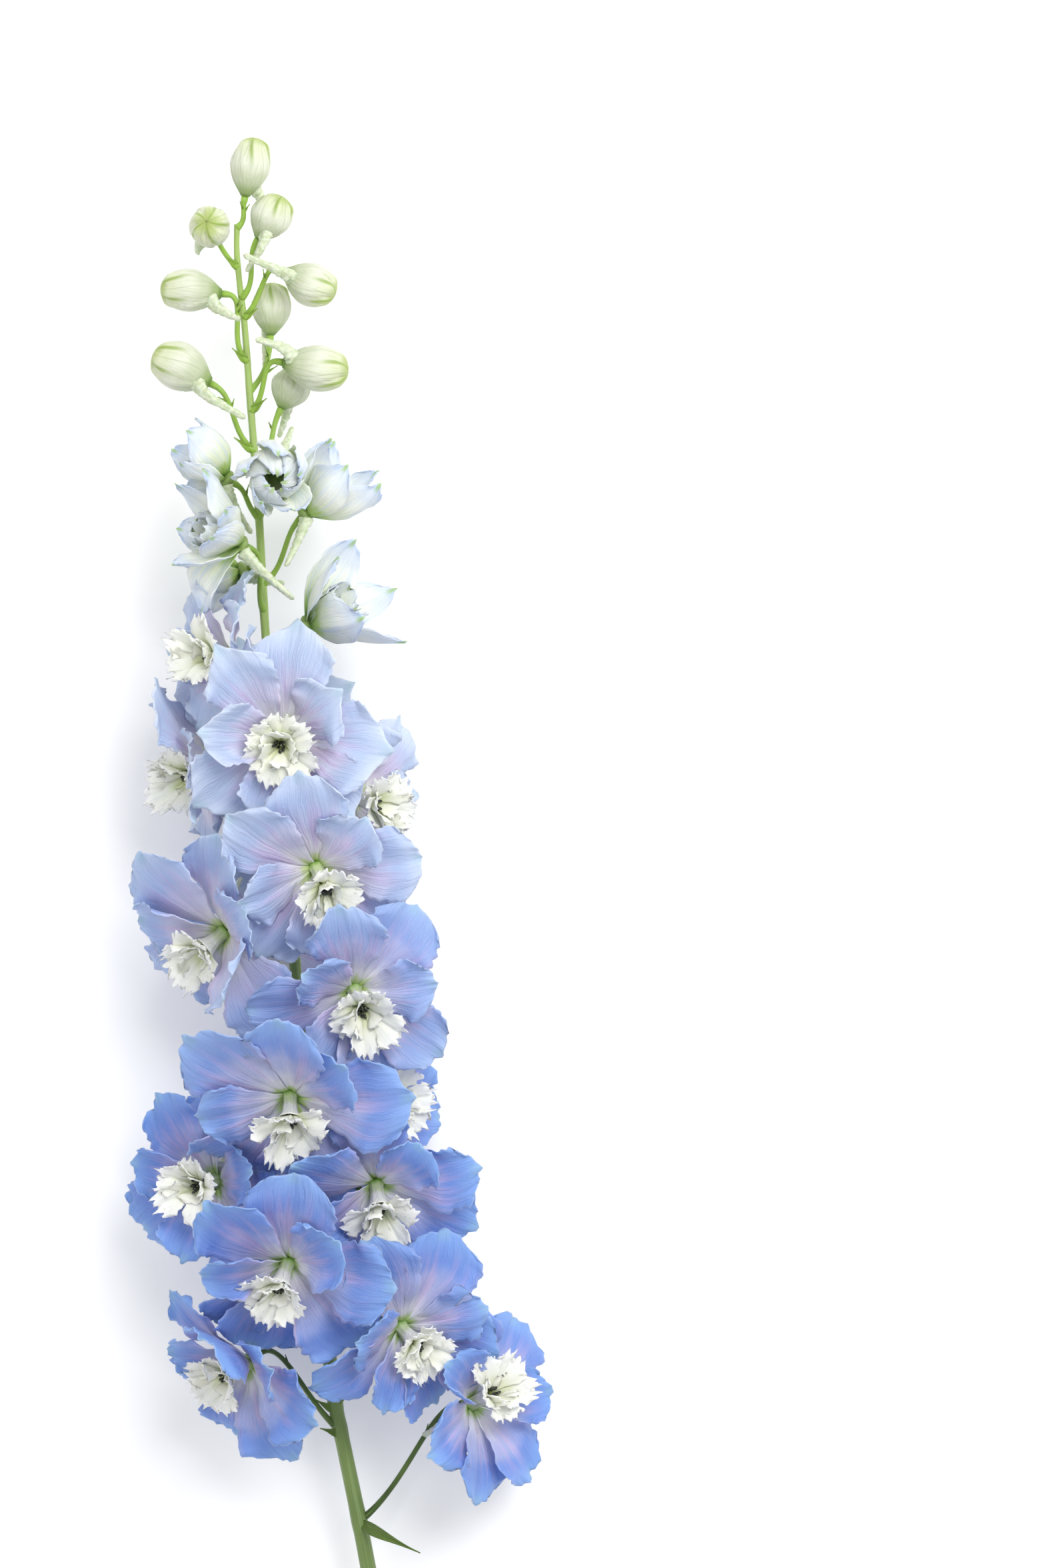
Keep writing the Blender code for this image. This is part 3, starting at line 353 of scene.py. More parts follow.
BUDS = (
    Bud("bud_01", (-26.5, 242.5, 39.5), (-23.3, 260.0, 40.0), 12.0, (-20.0, 239.0, 34.0), 233.0),
    Bud("bud_02", (-36.0, 231.5, 39.5), (-37.3, 233.5, 54.0), 12.4, (-41.0, 226.0, 34.0), 221.0),
    Bud("bud_03", (-22.4, 229.7, 41.0), (-15.0, 242.0, 43.5), 12.6, (-26.0, 219.5, 43.2), 212.0),
    Bud("bud_04", (-33.5, 213.1, 41.0), (-51.8, 214.9, 41.0), 12.8, (-27.6, 205.0, 46.0), 193.0),
    Bud("bud_05", (-14.5, 219.6, 41.0), (0.6, 212.5, 41.0), 13.2, (-26.5, 224.0, 49.5), 206.0),
    Bud("bud_06", (-19.2, 201.5, 31.0), (-18.6, 217.3, 30.0), 12.0, (-21.0, 190.0, 27.0), 184.0),
    Bud("bud_07", (-37.0, 186.3, 41.0), (-53.8, 195.5, 41.0), 14.6, (-26.0, 175.5, 46.5), 166.0),
    Bud("bud_08", (-15.0, 192.5, 41.0), (4.6, 189.3, 41.0), 14.0, (-23.0, 199.0, 47.0), 178.0),
    Bud("bud_09", (-16.0, 179.5, 31.0), (-10.5, 191.0, 30.0), 12.0, (-17.0, 171.0, 24.0), 160.0),
)

BRACTS = (
    ((9.6, -158.0), (0.75, -0.30, 0.45), 26.0), ((0.0, -124.0), (-0.80, 0.50, 0.30), 9.0),
    ((2.0, -131.0), (-0.85, 0.30, 0.40), 8.0), ((-28.0, 193.0), (-0.70, 0.60, 0.40), 7.0),
    ((-25.0, 178.0), (0.75, 0.60, 0.30), 7.0), ((-27.0, 206.0), (0.80, 0.50, 0.30), 6.0),
    ((-23.7, 166.0), (-0.80, 0.55, 0.25), 8.0), ((-28.5, 221.0), (-0.70, 0.65, 0.30), 6.0),
)


def smooth_line(points: Sequence, count: int) -> list[Vector]:
    """Points along a smooth curve through the given ones.

    Args:
        points: What the curve passes through, in mm.
        count: How many stretches to cut it into.

    Returns:
        count + 1 points, evenly spread over the given ones.
    """
    knots = [Vector(p) for p in points]
    knots = [knots[0] * 2.0 - knots[1]] + knots + [knots[-1] * 2.0 - knots[-2]]
    spans = len(knots) - 3
    line = []
    for i in range(count + 1):
        place = min(i * spans / count, spans - 1e-6)
        k = int(place)
        t = place - k
        a, b, c, d = knots[k:k + 4]
        line.append((b * 2.0 + (c - a) * t + (a * 2.0 - b * 5.0 + c * 4.0 - d) * t * t
                     + (b * 3.0 - a - c * 3.0 + d) * t * t * t) * 0.5)
    return line


def bezier(a: Vector, b: Vector, c: Vector, d: Vector, count: int) -> list[Vector]:
    """count + 1 points along a cubic curve from a to d, drawn by b and c."""
    shares = [(i / count, 1.0 - i / count) for i in range(count + 1)]
    return [a * s ** 3 + b * (3.0 * s * s * t) + c * (3.0 * s * t * t) + d * t ** 3 for t, s in shares]


def interpolate(stops: Sequence[tuple[float, float]], place: float) -> float:
    """Read a value from stops, straight from one to the next.

    Args:
        stops: Place and value of each, with rising places.
        place: Where to read.

    Returns:
        The value there, or the last one past the last place.
    """
    for (low, first), (high, second) in zip(stops, stops[1:]):
        if place <= high:
            share = (place - low) / (high - low)
            return first + (second - first) * share
    return stops[-1][1]


STEM_POINTS = smooth_line(STEM_LINE, int((STEM_ENDS_Y[1] - STEM_ENDS_Y[0]) / STEM_STEP))


def stem_share(y: float) -> float:
    """How far up the stem a height is, from 0 at the cut to 1 at the tip."""
    return (y - STEM_ENDS_Y[0]) / (STEM_ENDS_Y[1] - STEM_ENDS_Y[0])


def stem_at(y: float) -> Vector:
    """Find a point of the stem's middle line.

    Args:
        y: Its height along the spike, in mm.

    Returns:
        The point, in mm.
    """
    for low, high in zip(STEM_POINTS, STEM_POINTS[1:]):
        if y <= high.y:
            return low.lerp(high, (y - low.y) / (high.y - low.y))
    return STEM_POINTS[-1].copy()


@dataclass(frozen=True)
class Place:
    """The middle of a flower and its directions; up is nearest the spike's tip."""

    origin: Vector
    up: Vector
    right: Vector
    forward: Vector

    @classmethod
    def looking(cls, origin: Sequence, facing: Sequence) -> Place:
        """Stand at a point and look along a direction.

        Args:
            origin: The point, in mm.
            facing: The direction, of any length.

        Returns:
            The place, with up as near to the spike's tip as it can be.
        """
        forward = Vector(facing).normalized()
        up = Vector((0.0, 1.0, 0.0))
        up = (up - forward * up.dot(forward)).normalized()
        return cls(Vector(origin), up, up.cross(forward), forward)

    def turned(self, local: Sequence[float]) -> Vector:
        """A direction given by its shares of up, right and forward."""
        return self.up * local[0] + self.right * local[1] + self.forward * local[2]

    def ring(self, height: float, radius: float, angles: Sequence[float]) -> list[Vector]:
        """Points round the forward axis, at a height along it."""
        middle = self.origin + self.forward * height
        return [middle + (self.up * math.cos(a) + self.right * math.sin(a)) * radius for a in angles]


@dataclass(frozen=True)
class Blade:
    """A sepal or petal as the part has it, measured from the middle of its flower.

    Attributes:
        length: Length of its middle line.
        half_width: Half of its full width.
        root_rise: Angle above the flower's disc at its root.
        tip_rise: The same at its tip.
        turn: Angle round the flower, from its up direction.
        tilt: Turn about its own length.
        cup: How hollow it is across.
        wave: Height of its long wave.
        phase: Where that wave starts.
        floor: Lowest height above the surface.
        rows: Shares of the length at which the part has corners.
        root_radius: Distance of its root from the flower's axis.
        root_height: Height of its root along that axis.
        outline: Share of the full width at a share of the length.
    """

    length: float
    half_width: float
    root_rise: float
    tip_rise: float
    turn: float
    tilt: float
    cup: float
    wave: float
    phase: float
    floor: float
    rows: tuple
    root_radius: float
    root_height: float
    outline: Callable[[float], float] = sepal_width

    def at(self, u: float, v: float, side: float, extra: float = 0.0) -> tuple[tuple, tuple]:
        """A point of the blade's middle surface.

        Args:
            u: Share of the length from the root.
            v: Share of the half width, from -1 to 1, for the wave.
            side: Distance across from the middle line, in mm.
            extra: Lift above the surface, in mm.

        Returns:
            The point and the normal there, in the flower's up, right and forward.
        """
        root = math.radians(self.root_rise)
        bend = math.radians(self.tip_rise) - root
        if abs(bend) < 0.01:
            bend = 0.01
        rise = root + bend * u
        out = self.length * (math.sin(rise) - math.sin(root)) / bend
        forward = self.length * (math.cos(root) - math.cos(rise)) / bend
        tilt = math.radians(self.tilt)
        lift = side * math.sin(tilt) + self.cup * side * side / self.half_width + extra
        lift += self.wave * v * v * math.sin(2.0 * math.pi * u + self.phase) * u
        out += self.root_radius - lift * math.sin(rise)
        forward += self.root_height + lift * math.cos(rise)
        across = side * math.cos(tilt)
        cos_turn = math.cos(math.radians(self.turn))
        sin_turn = math.sin(math.radians(self.turn))
        lean = -math.sin(rise) * math.cos(tilt)
        slip = -math.sin(tilt)
        level = math.cos(rise) * math.cos(tilt)
        point = (out * cos_turn - across * sin_turn, out * sin_turn + across * cos_turn, forward)
        return point, (lean * cos_turn - slip * sin_turn, lean * sin_turn + slip * cos_turn, level)

    def corner(self, place: Place, u: float, v: float) -> Vector:
        """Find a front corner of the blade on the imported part.

        Args:
            place: Its flower's place.
            u: Share of the length from the root.
            v: Share of the half width, from -1 to 1.

        Returns:
            The corner in mm, above the blade's floor.
        """
        local, slope = self.at(u, v, self.half_width * self.outline(u) * v)
        point = place.origin + place.turned(local)
        half = place.turned(slope) * (0.5 * BLADE_THICK)
        front = point + half
        front.z = max(front.z, self.floor + (BLADE_THICK if half.z > 0.0 else 0.0))
        return front

    def given_way(self, bend: float, swing: float, shrink: float) -> Blade:
        """Let the blade give way to its neighbours.

        Args:
            bend: How far it bends up, in degrees.
            swing: How far it turns round the flower, in degrees.
            shrink: Its length against the full one.

        Returns:
            The blade once it has given way.
        """
        return replace(self, root_rise=self.root_rise + BEND_SHARES[0] * bend,
                       tip_rise=self.tip_rise + BEND_SHARES[1] * bend, turn=self.turn + swing,
                       length=self.length * shrink, half_width=self.half_width * (0.5 + 0.5 * shrink))


class FrameFit:
    """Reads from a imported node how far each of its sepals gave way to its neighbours."""

    def __init__(self, node: bpy.types.Object) -> None:
        """Index the corners of a node's mesh, in mm.

        Args:
            node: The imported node.
        """
        corners = node.data.vertices
        self.tree = KDTree(len(corners))
        for i, corner in enumerate(corners):
            self.tree.insert(corner.co / MM, i)
        self.tree.balance()

    def settled(self, start: Blade, place: Place) -> Blade:
        """The sepal as it lies on the part.

        Args:
            start: The sepal as it would grow alone.
            place: Its flower's place.

        Returns:
            The sepal with the bend, swing and shrink whose corners are the node's own.
        """
        spots = ((start.rows[1], -1.0), (start.rows[1], 1.0), (1.0, 0.0), (start.rows[0], 1.0))
        best = (0, start)
        for bend in BENDS:
            for swing in SWINGS:
                for shrink in SHRINKS:
                    blade = start.given_way(bend, swing, shrink)
                    hits = 0
                    for u, v in spots:
                        hits += self.tree.find(blade.corner(place, u, v))[2] < FIT_TOLERANCE
                    if hits > best[0]:
                        best = (hits, blade)
                    if hits == len(spots):
                        return blade
        log.info("a sepal was fitted by %d of %d corners", best[0], len(spots))
        return best[1]


def rings_of(bloom: Bloom) -> list[int]:
    """Which ring each sepal belongs to, in order round the hub: 0 is outer, 1 inner."""
    inner = {int((i + 0.5) * bloom.count / bloom.inner) for i in range(bloom.inner)}
    return [1 if k in inner else 0 for k in range(bloom.count)]


def sepals_of(bloom: Bloom) -> list[Blade]:
    """Work out a flower's sepals as they would grow alone, with the part's own odds.

    Args:
        bloom: The flower.

    Returns:
        Its sepals in order round the hub.
    """
    draw = random.Random(bloom.name)
    habit = bloom.habit.value
    rings = rings_of(bloom)
    blades = []
    for k, ring in enumerate(rings):
        share = draw.uniform(0.94, 1.05) * (INNER_LENGTH_SHARE if ring else 1.0)
        width = draw.uniform(0.92, 1.08) * (INNER_WIDTH_SHARE if ring else 1.0)
        blades.append(Blade(
            length=bloom.length * share,
            half_width=SEPAL_HALF_WIDTH * bloom.length / SEPAL_LENGTH * width * habit.width,
            root_rise=habit.root_rise + INNER_EXTRA_RISE * ring + draw.uniform(-3.0, 3.0),
            tip_rise=habit.tip_rise + INNER_EXTRA_RISE * ring + draw.uniform(-10.0, 10.0),
            turn=bloom.roll + 360.0 * k / len(rings) + draw.uniform(-4.0, 4.0),
            tilt=habit.tilt + draw.uniform(-3.0, 3.0),
            cup=habit.cup + draw.uniform(-0.06, 0.1),
            wave=draw.uniform(0.4, 0.9),
            phase=draw.uniform(0.0, 6.28),
            floor=FLOOR_STEP * (k % 2),
            rows=SEPAL_ROWS_FEW if ring or bloom.under else SEPAL_ROWS,
            root_radius=SEPAL_ROOT_RADIUS,
            root_height=0.0,
            outline=habit.outline,
        ))
    return blades


def bee_line(bloom: Bloom) -> tuple[Vector, float]:
    """Work out how a bee stands in its throat.

    Args:
        bloom: The floret.

    Returns:
        The direction from the throat to the middle of the bee, and the bee's length in mm.
    """
    away = Vector((bloom.bee[0], bloom.bee[1], 0.0))
    rest = max(BEE_LENGTH ** 2 - away.length_squared, BEE_LEAST_RISE ** 2)
    away.z = math.copysign(math.sqrt(rest), bloom.facing[2])
    return away.normalized(), min(away.length, BEE_LENGTH)


def bee_petals_of(bloom: Bloom) -> list[Blade]:
    """Work out the outer petals of a bee, with the part's own odds.

    Args:
        bloom: The floret.

    Returns:
        The petals in order round the bee.
    """
    draw = random.Random(bloom.name + "_bee")
    length = bee_line(bloom)[1]
    blades = []
    for k in range(bloom.bee_petals):
        blades.append(Blade(
            length=BEE_PETAL_LENGTH * draw.uniform(0.88, 1.1),
            half_width=BEE_PETAL_HALF_WIDTH * draw.uniform(0.92, 1.1),
            root_rise=BEE_PETAL_RISES[0] + draw.uniform(-6.0, 6.0),
            tip_rise=BEE_PETAL_RISES[1] + draw.uniform(-18.0, 18.0),
            turn=360.0 * k / bloom.bee_petals + draw.uniform(-6.0, 6.0) + bloom.roll,
            tilt=6.0,
            cup=0.15,
            wave=0.4,
            phase=draw.uniform(0.0, 6.28),
            floor=FLOOR_STEP,
            rows=SEPAL_ROWS,
            root_radius=0.9 * BEE_MOUTH_RADIUS,
            root_height=BEE_MOUTH_SHARE * length + 0.5 * BEE_RIM,
            outline=petal_width,
        ))
    return blades


def side_angles(count: int, roll: float) -> list[float]:
    """Angles of the middles of a hub's sides, one for each sepal."""
    return [math.radians(roll + 360.0 * k / count) for k in range(count)]


def corner_angles(count: int, roll: float) -> list[float]:
    """Angles of both corners of each of a hub's sides."""
    spread = ROOT_SHARE * math.pi / count
    return [middle + turn for middle in side_angles(count, roll) for turn in (-spread, spread)]


def spur_line(bloom: Bloom, place: Place, count: int) -> list[Vector]:
    """The middle line of a flower's spur, from the side of the hub's back.

    Args:
        bloom: The flower.
        place: Its place.
        count: How many stretches to cut the line into.

    Returns:
        count + 1 points, in mm.
    """
    n = bloom.count
    side = round((bloom.spur_turn - bloom.roll) * n / 360.0 - 0.5) % n
    back = place.ring(-HUB_BACK, HUB_BACK_RADIUS, side_angles(n, bloom.roll))
    low = place.ring(-HUB_FRONT, HUB_RADIUS, corner_angles(n, bloom.roll))
    corners = (back[side], back[(side + 1) % n], low[(2 * side + 2) % (2 * n)], low[2 * side + 1])
    start = sum(corners, Vector()) / 4.0
    aside = start - place.origin
    aside = (aside - place.forward * aside.dot(place.forward)).normalized()
    reach = bloom.spur_length
    middle, end = [start + aside * (share * reach) - place.forward * (back_share * reach)
                   for share, back_share in SPUR_BENDS]
    line = bezier(start, start.lerp(middle, 0.8), middle.lerp(end, 0.35), end, count)
    for i, point in enumerate(line):
        point.z = max(point.z, SPUR_RADII[0] + (SPUR_RADII[1] - SPUR_RADII[0]) * i / count)
    return line


class Clay:
    """A mesh in the making, with the marks that its finish reads: tone and luck."""

    MARKS = ("tone", "luck")
    CAP_SHARE = 0.35

    def __init__(self) -> None:
        """Start an empty mesh with a UV map and both marks."""
        self.bm = bmesh.new()
        self.bm.loops.layers.uv.new("UVMap")
        for mark in self.MARKS:
            self.bm.verts.layers.float.new(mark)

    def grow(self, operator: Callable, tone: float, luck: float, **settings: object) -> list:
        """Add a simple shape and mark its corners.

        Args:
            operator: The operator that makes the shape.
            tone: Mark for the finish.
            luck: Mark for the finish.
            settings: What the operator takes.

        Returns:
            The new corners.
        """
        before = set(self.bm.verts)
        operator(self.bm, **settings)
        grown = [vert for vert in self.bm.verts if vert not in before]
        for name, value in zip(self.MARKS, (tone, luck)):
            layer = self.bm.verts.layers.float[name]
            for vert in grown:
                vert[layer] = value
        return grown

    def sheet(self, shape: Shape, grid: tuple[int, int], tone: float, luck: float) -> None:
        """Lay a grid into a shape.

        Args:
            shape: The point, in mm, at a place across (-1 to 1) and along (0 to 1).
            grid: Columns across and rows along.
            tone: Mark for the finish.
            luck: Mark for the finish.
        """
        grown = self.grow(bmesh.ops.create_grid, tone, luck, x_segments=grid[0], y_segments=grid[1], size=0.5,
                          calc_uvs=True)
        for vert in grown:
            vert.co = shape(2.0 * vert.co.x, vert.co.y + 0.5) * MM

    def limb(self, line: Sequence[Vector], radius: Radius, sides: int, tone: float, luck: float,
             across: Vector | None = None) -> None:
        """Draw a ball's rings out along a line.

        Args:
            line: Middle points in mm, one for each ring.
            radius: The radius in mm at a share of the line and an angle round it.
            sides: Corners of a ring.
            tone: Mark for the finish.
            luck: Mark for the finish.
            across: Where the angle 0 points.
        """
        last = len(line) - 1
        grown = self.grow(bmesh.ops.create_uvsphere, tone, luck, u_segments=sides, v_segments=last + 2,
                          radius=1.0, calc_uvs=True)
        frames = self.frames(line, across)
        for vert in grown:
            ring = round(math.acos(max(-1.0, min(1.0, vert.co.z))) / math.pi * (last + 2)) - 1
            if 0 <= ring <= last:
                angle = math.atan2(vert.co.y, vert.co.x)
                aside = frames[ring][0] * math.cos(angle) + frames[ring][1] * math.sin(angle)
                vert.co = (line[ring] + aside * radius(ring / last, angle)) * MM
                continue
            end, before = (0, 1) if ring < 0 else (last, last - 1)
            out = (line[end] - line[before]).normalized()
            vert.co = (line[end] + out * (self.CAP_SHARE * radius(end / last, 0.0))) * MM

    def rod(self, foot: Vector, head: Vector, radii: tuple[float, float], sides: int) -> Matrix:
        """Add a thin straight rod.

        Args:
            foot: Where it starts, in mm.
            head: Where it ends, in mm.
            radii: Its radii at both, in mm.
            sides: How many sides it has.

        Returns:
            The turn that points +Z along it.
        """
        way = head - foot
        turn = way.to_track_quat("Z", "Y").to_matrix().to_4x4()
        spot = Matrix.Translation((foot + head) * (0.5 * MM)) @ turn
        self.grow(bmesh.ops.create_cone, 0.0, 0.5, segments=sides, radius1=radii[0] * MM,
                  radius2=radii[1] * MM, depth=way.length * MM, cap_ends=True, matrix=spot, calc_uvs=True)
        return turn

    @staticmethod
    def frames(line: Sequence[Vector], across: Vector | None) -> list[tuple[Vector, Vector]]:
        """Work out two directions square to a line at each of its points.

        Args:
            line: The points.
            across: What the first direction starts from.

        Returns:
            The directions, which turn with the line and don't twist.
        """
        found = []
        for i in range(len(line)):
            along = (line[min(i + 1, len(line) - 1)] - line[max(i - 1, 0)]).normalized()
            across = along.orthogonal() if across is None else across
            across = (across - along * across.dot(along)).normalized()
            found.append((across, along.cross(across)))
        return found

    def closed(self) -> None:
        """Turn the faces of closed shapes outwards."""
        bmesh.ops.recalc_face_normals(self.bm, faces=self.bm.faces)

    def piece(self, name: str, finish: bpy.types.Material, nodes: Sequence[str] = (),
              thick: float = 0.0) -> bpy.types.Object:
        """Make the finished piece.

        Args:
            name: The object's name.
            finish: Its material.
            nodes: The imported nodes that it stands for.
            thick: Thickness in mm that open sheets get.

        Returns:
            The object, riding on the part's one body.
        """
        mesh = bpy.data.meshes.new(name)
        self.bm.to_mesh(mesh)
        self.bm.free()
        mesh.shade_smooth()
        mesh.materials.append(finish)
        item = bpy.data.objects.new(name, mesh)
        bpy.context.scene.collection.objects.link(item)
        if thick:
            wall = item.modifiers.new("thickness", "SOLIDIFY")
            wall.thickness = thick * MM
            wall.offset = 0.0
        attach(item, BODY)
        if nodes:
            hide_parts(*nodes)
        log.info("%s: %d faces", name, len(mesh.polygons))
        return item


@dataclass(frozen=True)
class Margin:
    """Fine form of a petal, in mm and shares.

    Attributes:
        ruffle: Height of the waves along the edge.
        waves: How many of them an edge has.
        curl: How far an edge may roll up or down.
        end: Share of the length that the rounded end takes.
        taper: How blunt that end is; a low value is pointed.
        point: Length of the small tip.
        cleft: Depth of the notch at the tip.
        teeth: How many teeth the end has.
        tooth_depth: Depth of the teeth.
        scallop: Waves of the outline itself.
        frill: Irregular notches of the outline.
        crease: Depth of the fold along the middle.
        fullness: Width against the part's blade.
        reach: Length against the part's blade.
        uneven: Height of the soft bumps all over.
        tuck: How far one edge may fold over.
        outline: Share of the full width at a share of the length.
    """

    ruffle: float = 1.35
    waves: float = 2.6
    curl: float = 2.0
    end: float = 0.17
    taper: float = 2.1
    point: float = 0.035
    cleft: float = 0.0
    teeth: float = 0.0
    tooth_depth: float = 0.0
    scallop: float = 0.04
    frill: float = 0.05
    crease: float = 0.5
    fullness: float = 1.22
    reach: float = 1.03
    uneven: float = 1.3
    tuck: float = 0.0
    outline: Callable[[float], float] = full_sepal_width


SEPAL_MARGIN = Margin()
PALE_MARGIN = Margin(end=0.27, taper=1.55, point=0.06, frill=0.035)
YOUNG_MARGIN = Margin(ruffle=0.5, waves=2.0, curl=0.5, end=0.10, scallop=0.02, crease=0.7, fullness=1.1,
                      reach=1.0, uneven=0.4, outline=young_sepal_width)
BEE_MARGIN = Margin(ruffle=0.7, waves=1.3, curl=0.9, end=0.22, point=0.0, cleft=0.17, teeth=1.15,
                    tooth_depth=0.2, scallop=0.09, frill=0.08, crease=0.8, fullness=1.65, reach=1.26,
                    uneven=0.9, outline=petal_width)
HEART_MARGIN = replace(BEE_MARGIN, ruffle=0.4, fullness=1.0, reach=1.0)
BRACT_MARGIN = Margin(ruffle=0.1, waves=1.0, curl=0.0, end=0.0, point=0.0, scallop=0.0, frill=0.0,
                      crease=0.35, fullness=1.0, reach=1.0, uneven=0.1, outline=lance_width)


@dataclass
class Petal:
    """One petal as a fine sheet, with its own draw of phases.

    Attributes:
        blade: Its form on the part.
        margin: What the fine sheet adds.
        place: Its flower's place.
        seed: What its draws start from.
        phases: Where each of its waves starts, in turns.
        rolls: How far each edge rolls, and which one folds over and how wide it is.
        taper: How blunt its end is.
    """

    blade: Blade
    margin: Margin
    place: Place
    seed: str
    phases: list[float] = field(init=False)
    rolls: list[float] = field(init=False)
    taper: float = field(init=False)

    def __post_init__(self) -> None:
        """Draw its odds."""
        draw = random.Random(self.seed)
        self.phases = [draw.uniform(0.0, 1.0) for _ in range(6)]
        self.rolls = [draw.uniform(-1.0, 1.0) for _ in range(3)]
        self.taper = self.margin.taper * draw.uniform(0.7, 1.15)

    def wave(self, turns: float, phase: int) -> float:
        """A sine wave after a number of turns, started at one of the petal's phases."""
        return math.sin(2.0 * math.pi * (turns + self.phases[phase]))

    def fold(self, across: float, along: float) -> float:
        """Work out how far the one edge that folds over stands up.

        Args:
            across: Place across the sheet, from -1 to 1.
            along: Place along it, from 0 to 1.

        Returns:
            The height in mm.
        """
        if across * self.rolls[2] <= 0.0 or self.rolls[1] <= 0.0:
            return 0.0
        share = max(0.0, (abs(across) - 0.42) / 0.58)
        return self.margin.tuck * self.rolls[1] * share ** 1.6 * along * math.sin(0.92 * math.pi * along)

    def lift(self, across: float, along: float) -> float:
        """Work out how far the sheet stands above the part's blade.

        Args:
            across: Place across the sheet, from -1 to 1.
            along: Place along it, from 0 to 1.

        Returns:
            The height in mm: ruffles of the edges and the end, their roll, the crease and soft bumps.
        """
        margin = self.margin
        rim = abs(across)
        sway = 0.4 if across > 0.0 else 0.0
        lift = margin.ruffle * rim ** 2.6 * along ** 0.8 * self.wave(margin.waves * along + sway, 0)
        lift += 0.30 * margin.ruffle * rim ** 4 * along * self.wave(2.7 * margin.waves * along + sway, 1)
        lift += 0.55 * margin.ruffle * along ** 5 * self.wave(1.2 * across, 2)
        lift += 0.35 * margin.ruffle * along ** 8 * self.wave(3.1 * across, 3)
        lift += margin.curl * self.rolls[across > 0.0] * rim ** 3 * math.sin(math.pi * min(1.0, 0.9 * along))
        lift -= margin.crease * math.exp(-(across / 0.2) ** 2) * math.sin(math.pi * min(along, 0.97)) ** 0.7
        spot = Vector((1.4 * across, 2.2 * along, 40.0 * self.phases[4]))
        return lift + margin.uneven * along * noise.noise(spot)

    def reach(self, across: float, along: float) -> float:
        """Work out how far along the blade a place of the sheet lies.

        Args:
            across: Place across the sheet, from -1 to 1.
            along: Place along it, from 0 to 1.

        Returns:
            The share of the blade's length, which draws a rounded, notched and toothed end.
        """
        margin = self.margin
        share = along * (1.0 - margin.end * abs(across) ** self.taper)
        notch = margin.point * math.exp(-(across / 0.12) ** 2)
        notch -= margin.cleft * math.exp(-(across / 0.16) ** 2)
        share += notch * along ** 12
        spot = Vector((3.3 * across, 30.0 * self.phases[4], 0.0))
        share += 0.8 * margin.frill * noise.noise(spot) * along ** 6
        if margin.teeth:
            comb = 0.7 * abs(self.wave(margin.teeth * across, 2))
            comb += 0.3 * abs(self.wave(2.3 * margin.teeth * across, 5))
            share -= margin.tooth_depth * comb * along ** 5
        return share * margin.reach

    def breadth(self, across: float, along: float) -> float:
        """Work out how far from its middle line a place of the sheet lies.

        Args:
            across: Place across the sheet, from -1 to 1.
            along: Place along it, from 0 to 1.

        Returns:
            The distance in mm, with waves and irregular notches towards the edge.
        """
        margin = self.margin
        rim = abs(across)
        edge = 1.0 + margin.scallop * rim ** 4 * along * self.wave(3.4 * margin.waves * along, 5)
        spot = Vector((7.0 * along, 3.0 if across > 0.0 else 9.0, 30.0 * self.phases[3]))
        edge += margin.frill * rim ** 3 * (noise.noise(spot) + 0.6 * noise.noise(spot * 2.7))
        edge += 0.05 * self.rolls[2]
        outline = margin.outline(along * (1.0 - margin.end))
        return self.blade.half_width * outline * across * margin.fullness * edge

    def point(self, across: float, along: float) -> Vector:
        """Find a point of the sheet.

        Args:
            across: Place across the sheet, from -1 to 1.
            along: Place along it, from 0 to 1.

        Returns:
            The point in mm, above the surface; near the hub the sheet draws together.
        """
        blade = self.blade
        fold = self.fold(across, along)
        side = self.breadth(across, along) * (1.0 - 0.065 * fold)
        local = Vector(blade.at(self.reach(across, along), across, side, self.lift(across, along) + fold)[0])
        if blade.root_radius:
            local.xy *= 1.0 - 0.62 * (1.0 - along) ** 6
        spot = self.place.origin + self.place.turned(local)
        spot.z = max(spot.z, blade.floor + 0.5 * SHEET_THICK)
        return spot


def linear(colour: Colour) -> tuple[float, float, float, float]:
    """A colour given as it looks on screen, 0 to 255, as the shader's own values."""
    values = [c / 255.0 for c in colour]
    return (*[v / 12.92 if v <= 0.04045 else ((v + 0.055) / 1.055) ** 2.4 for v in values], 1.0)


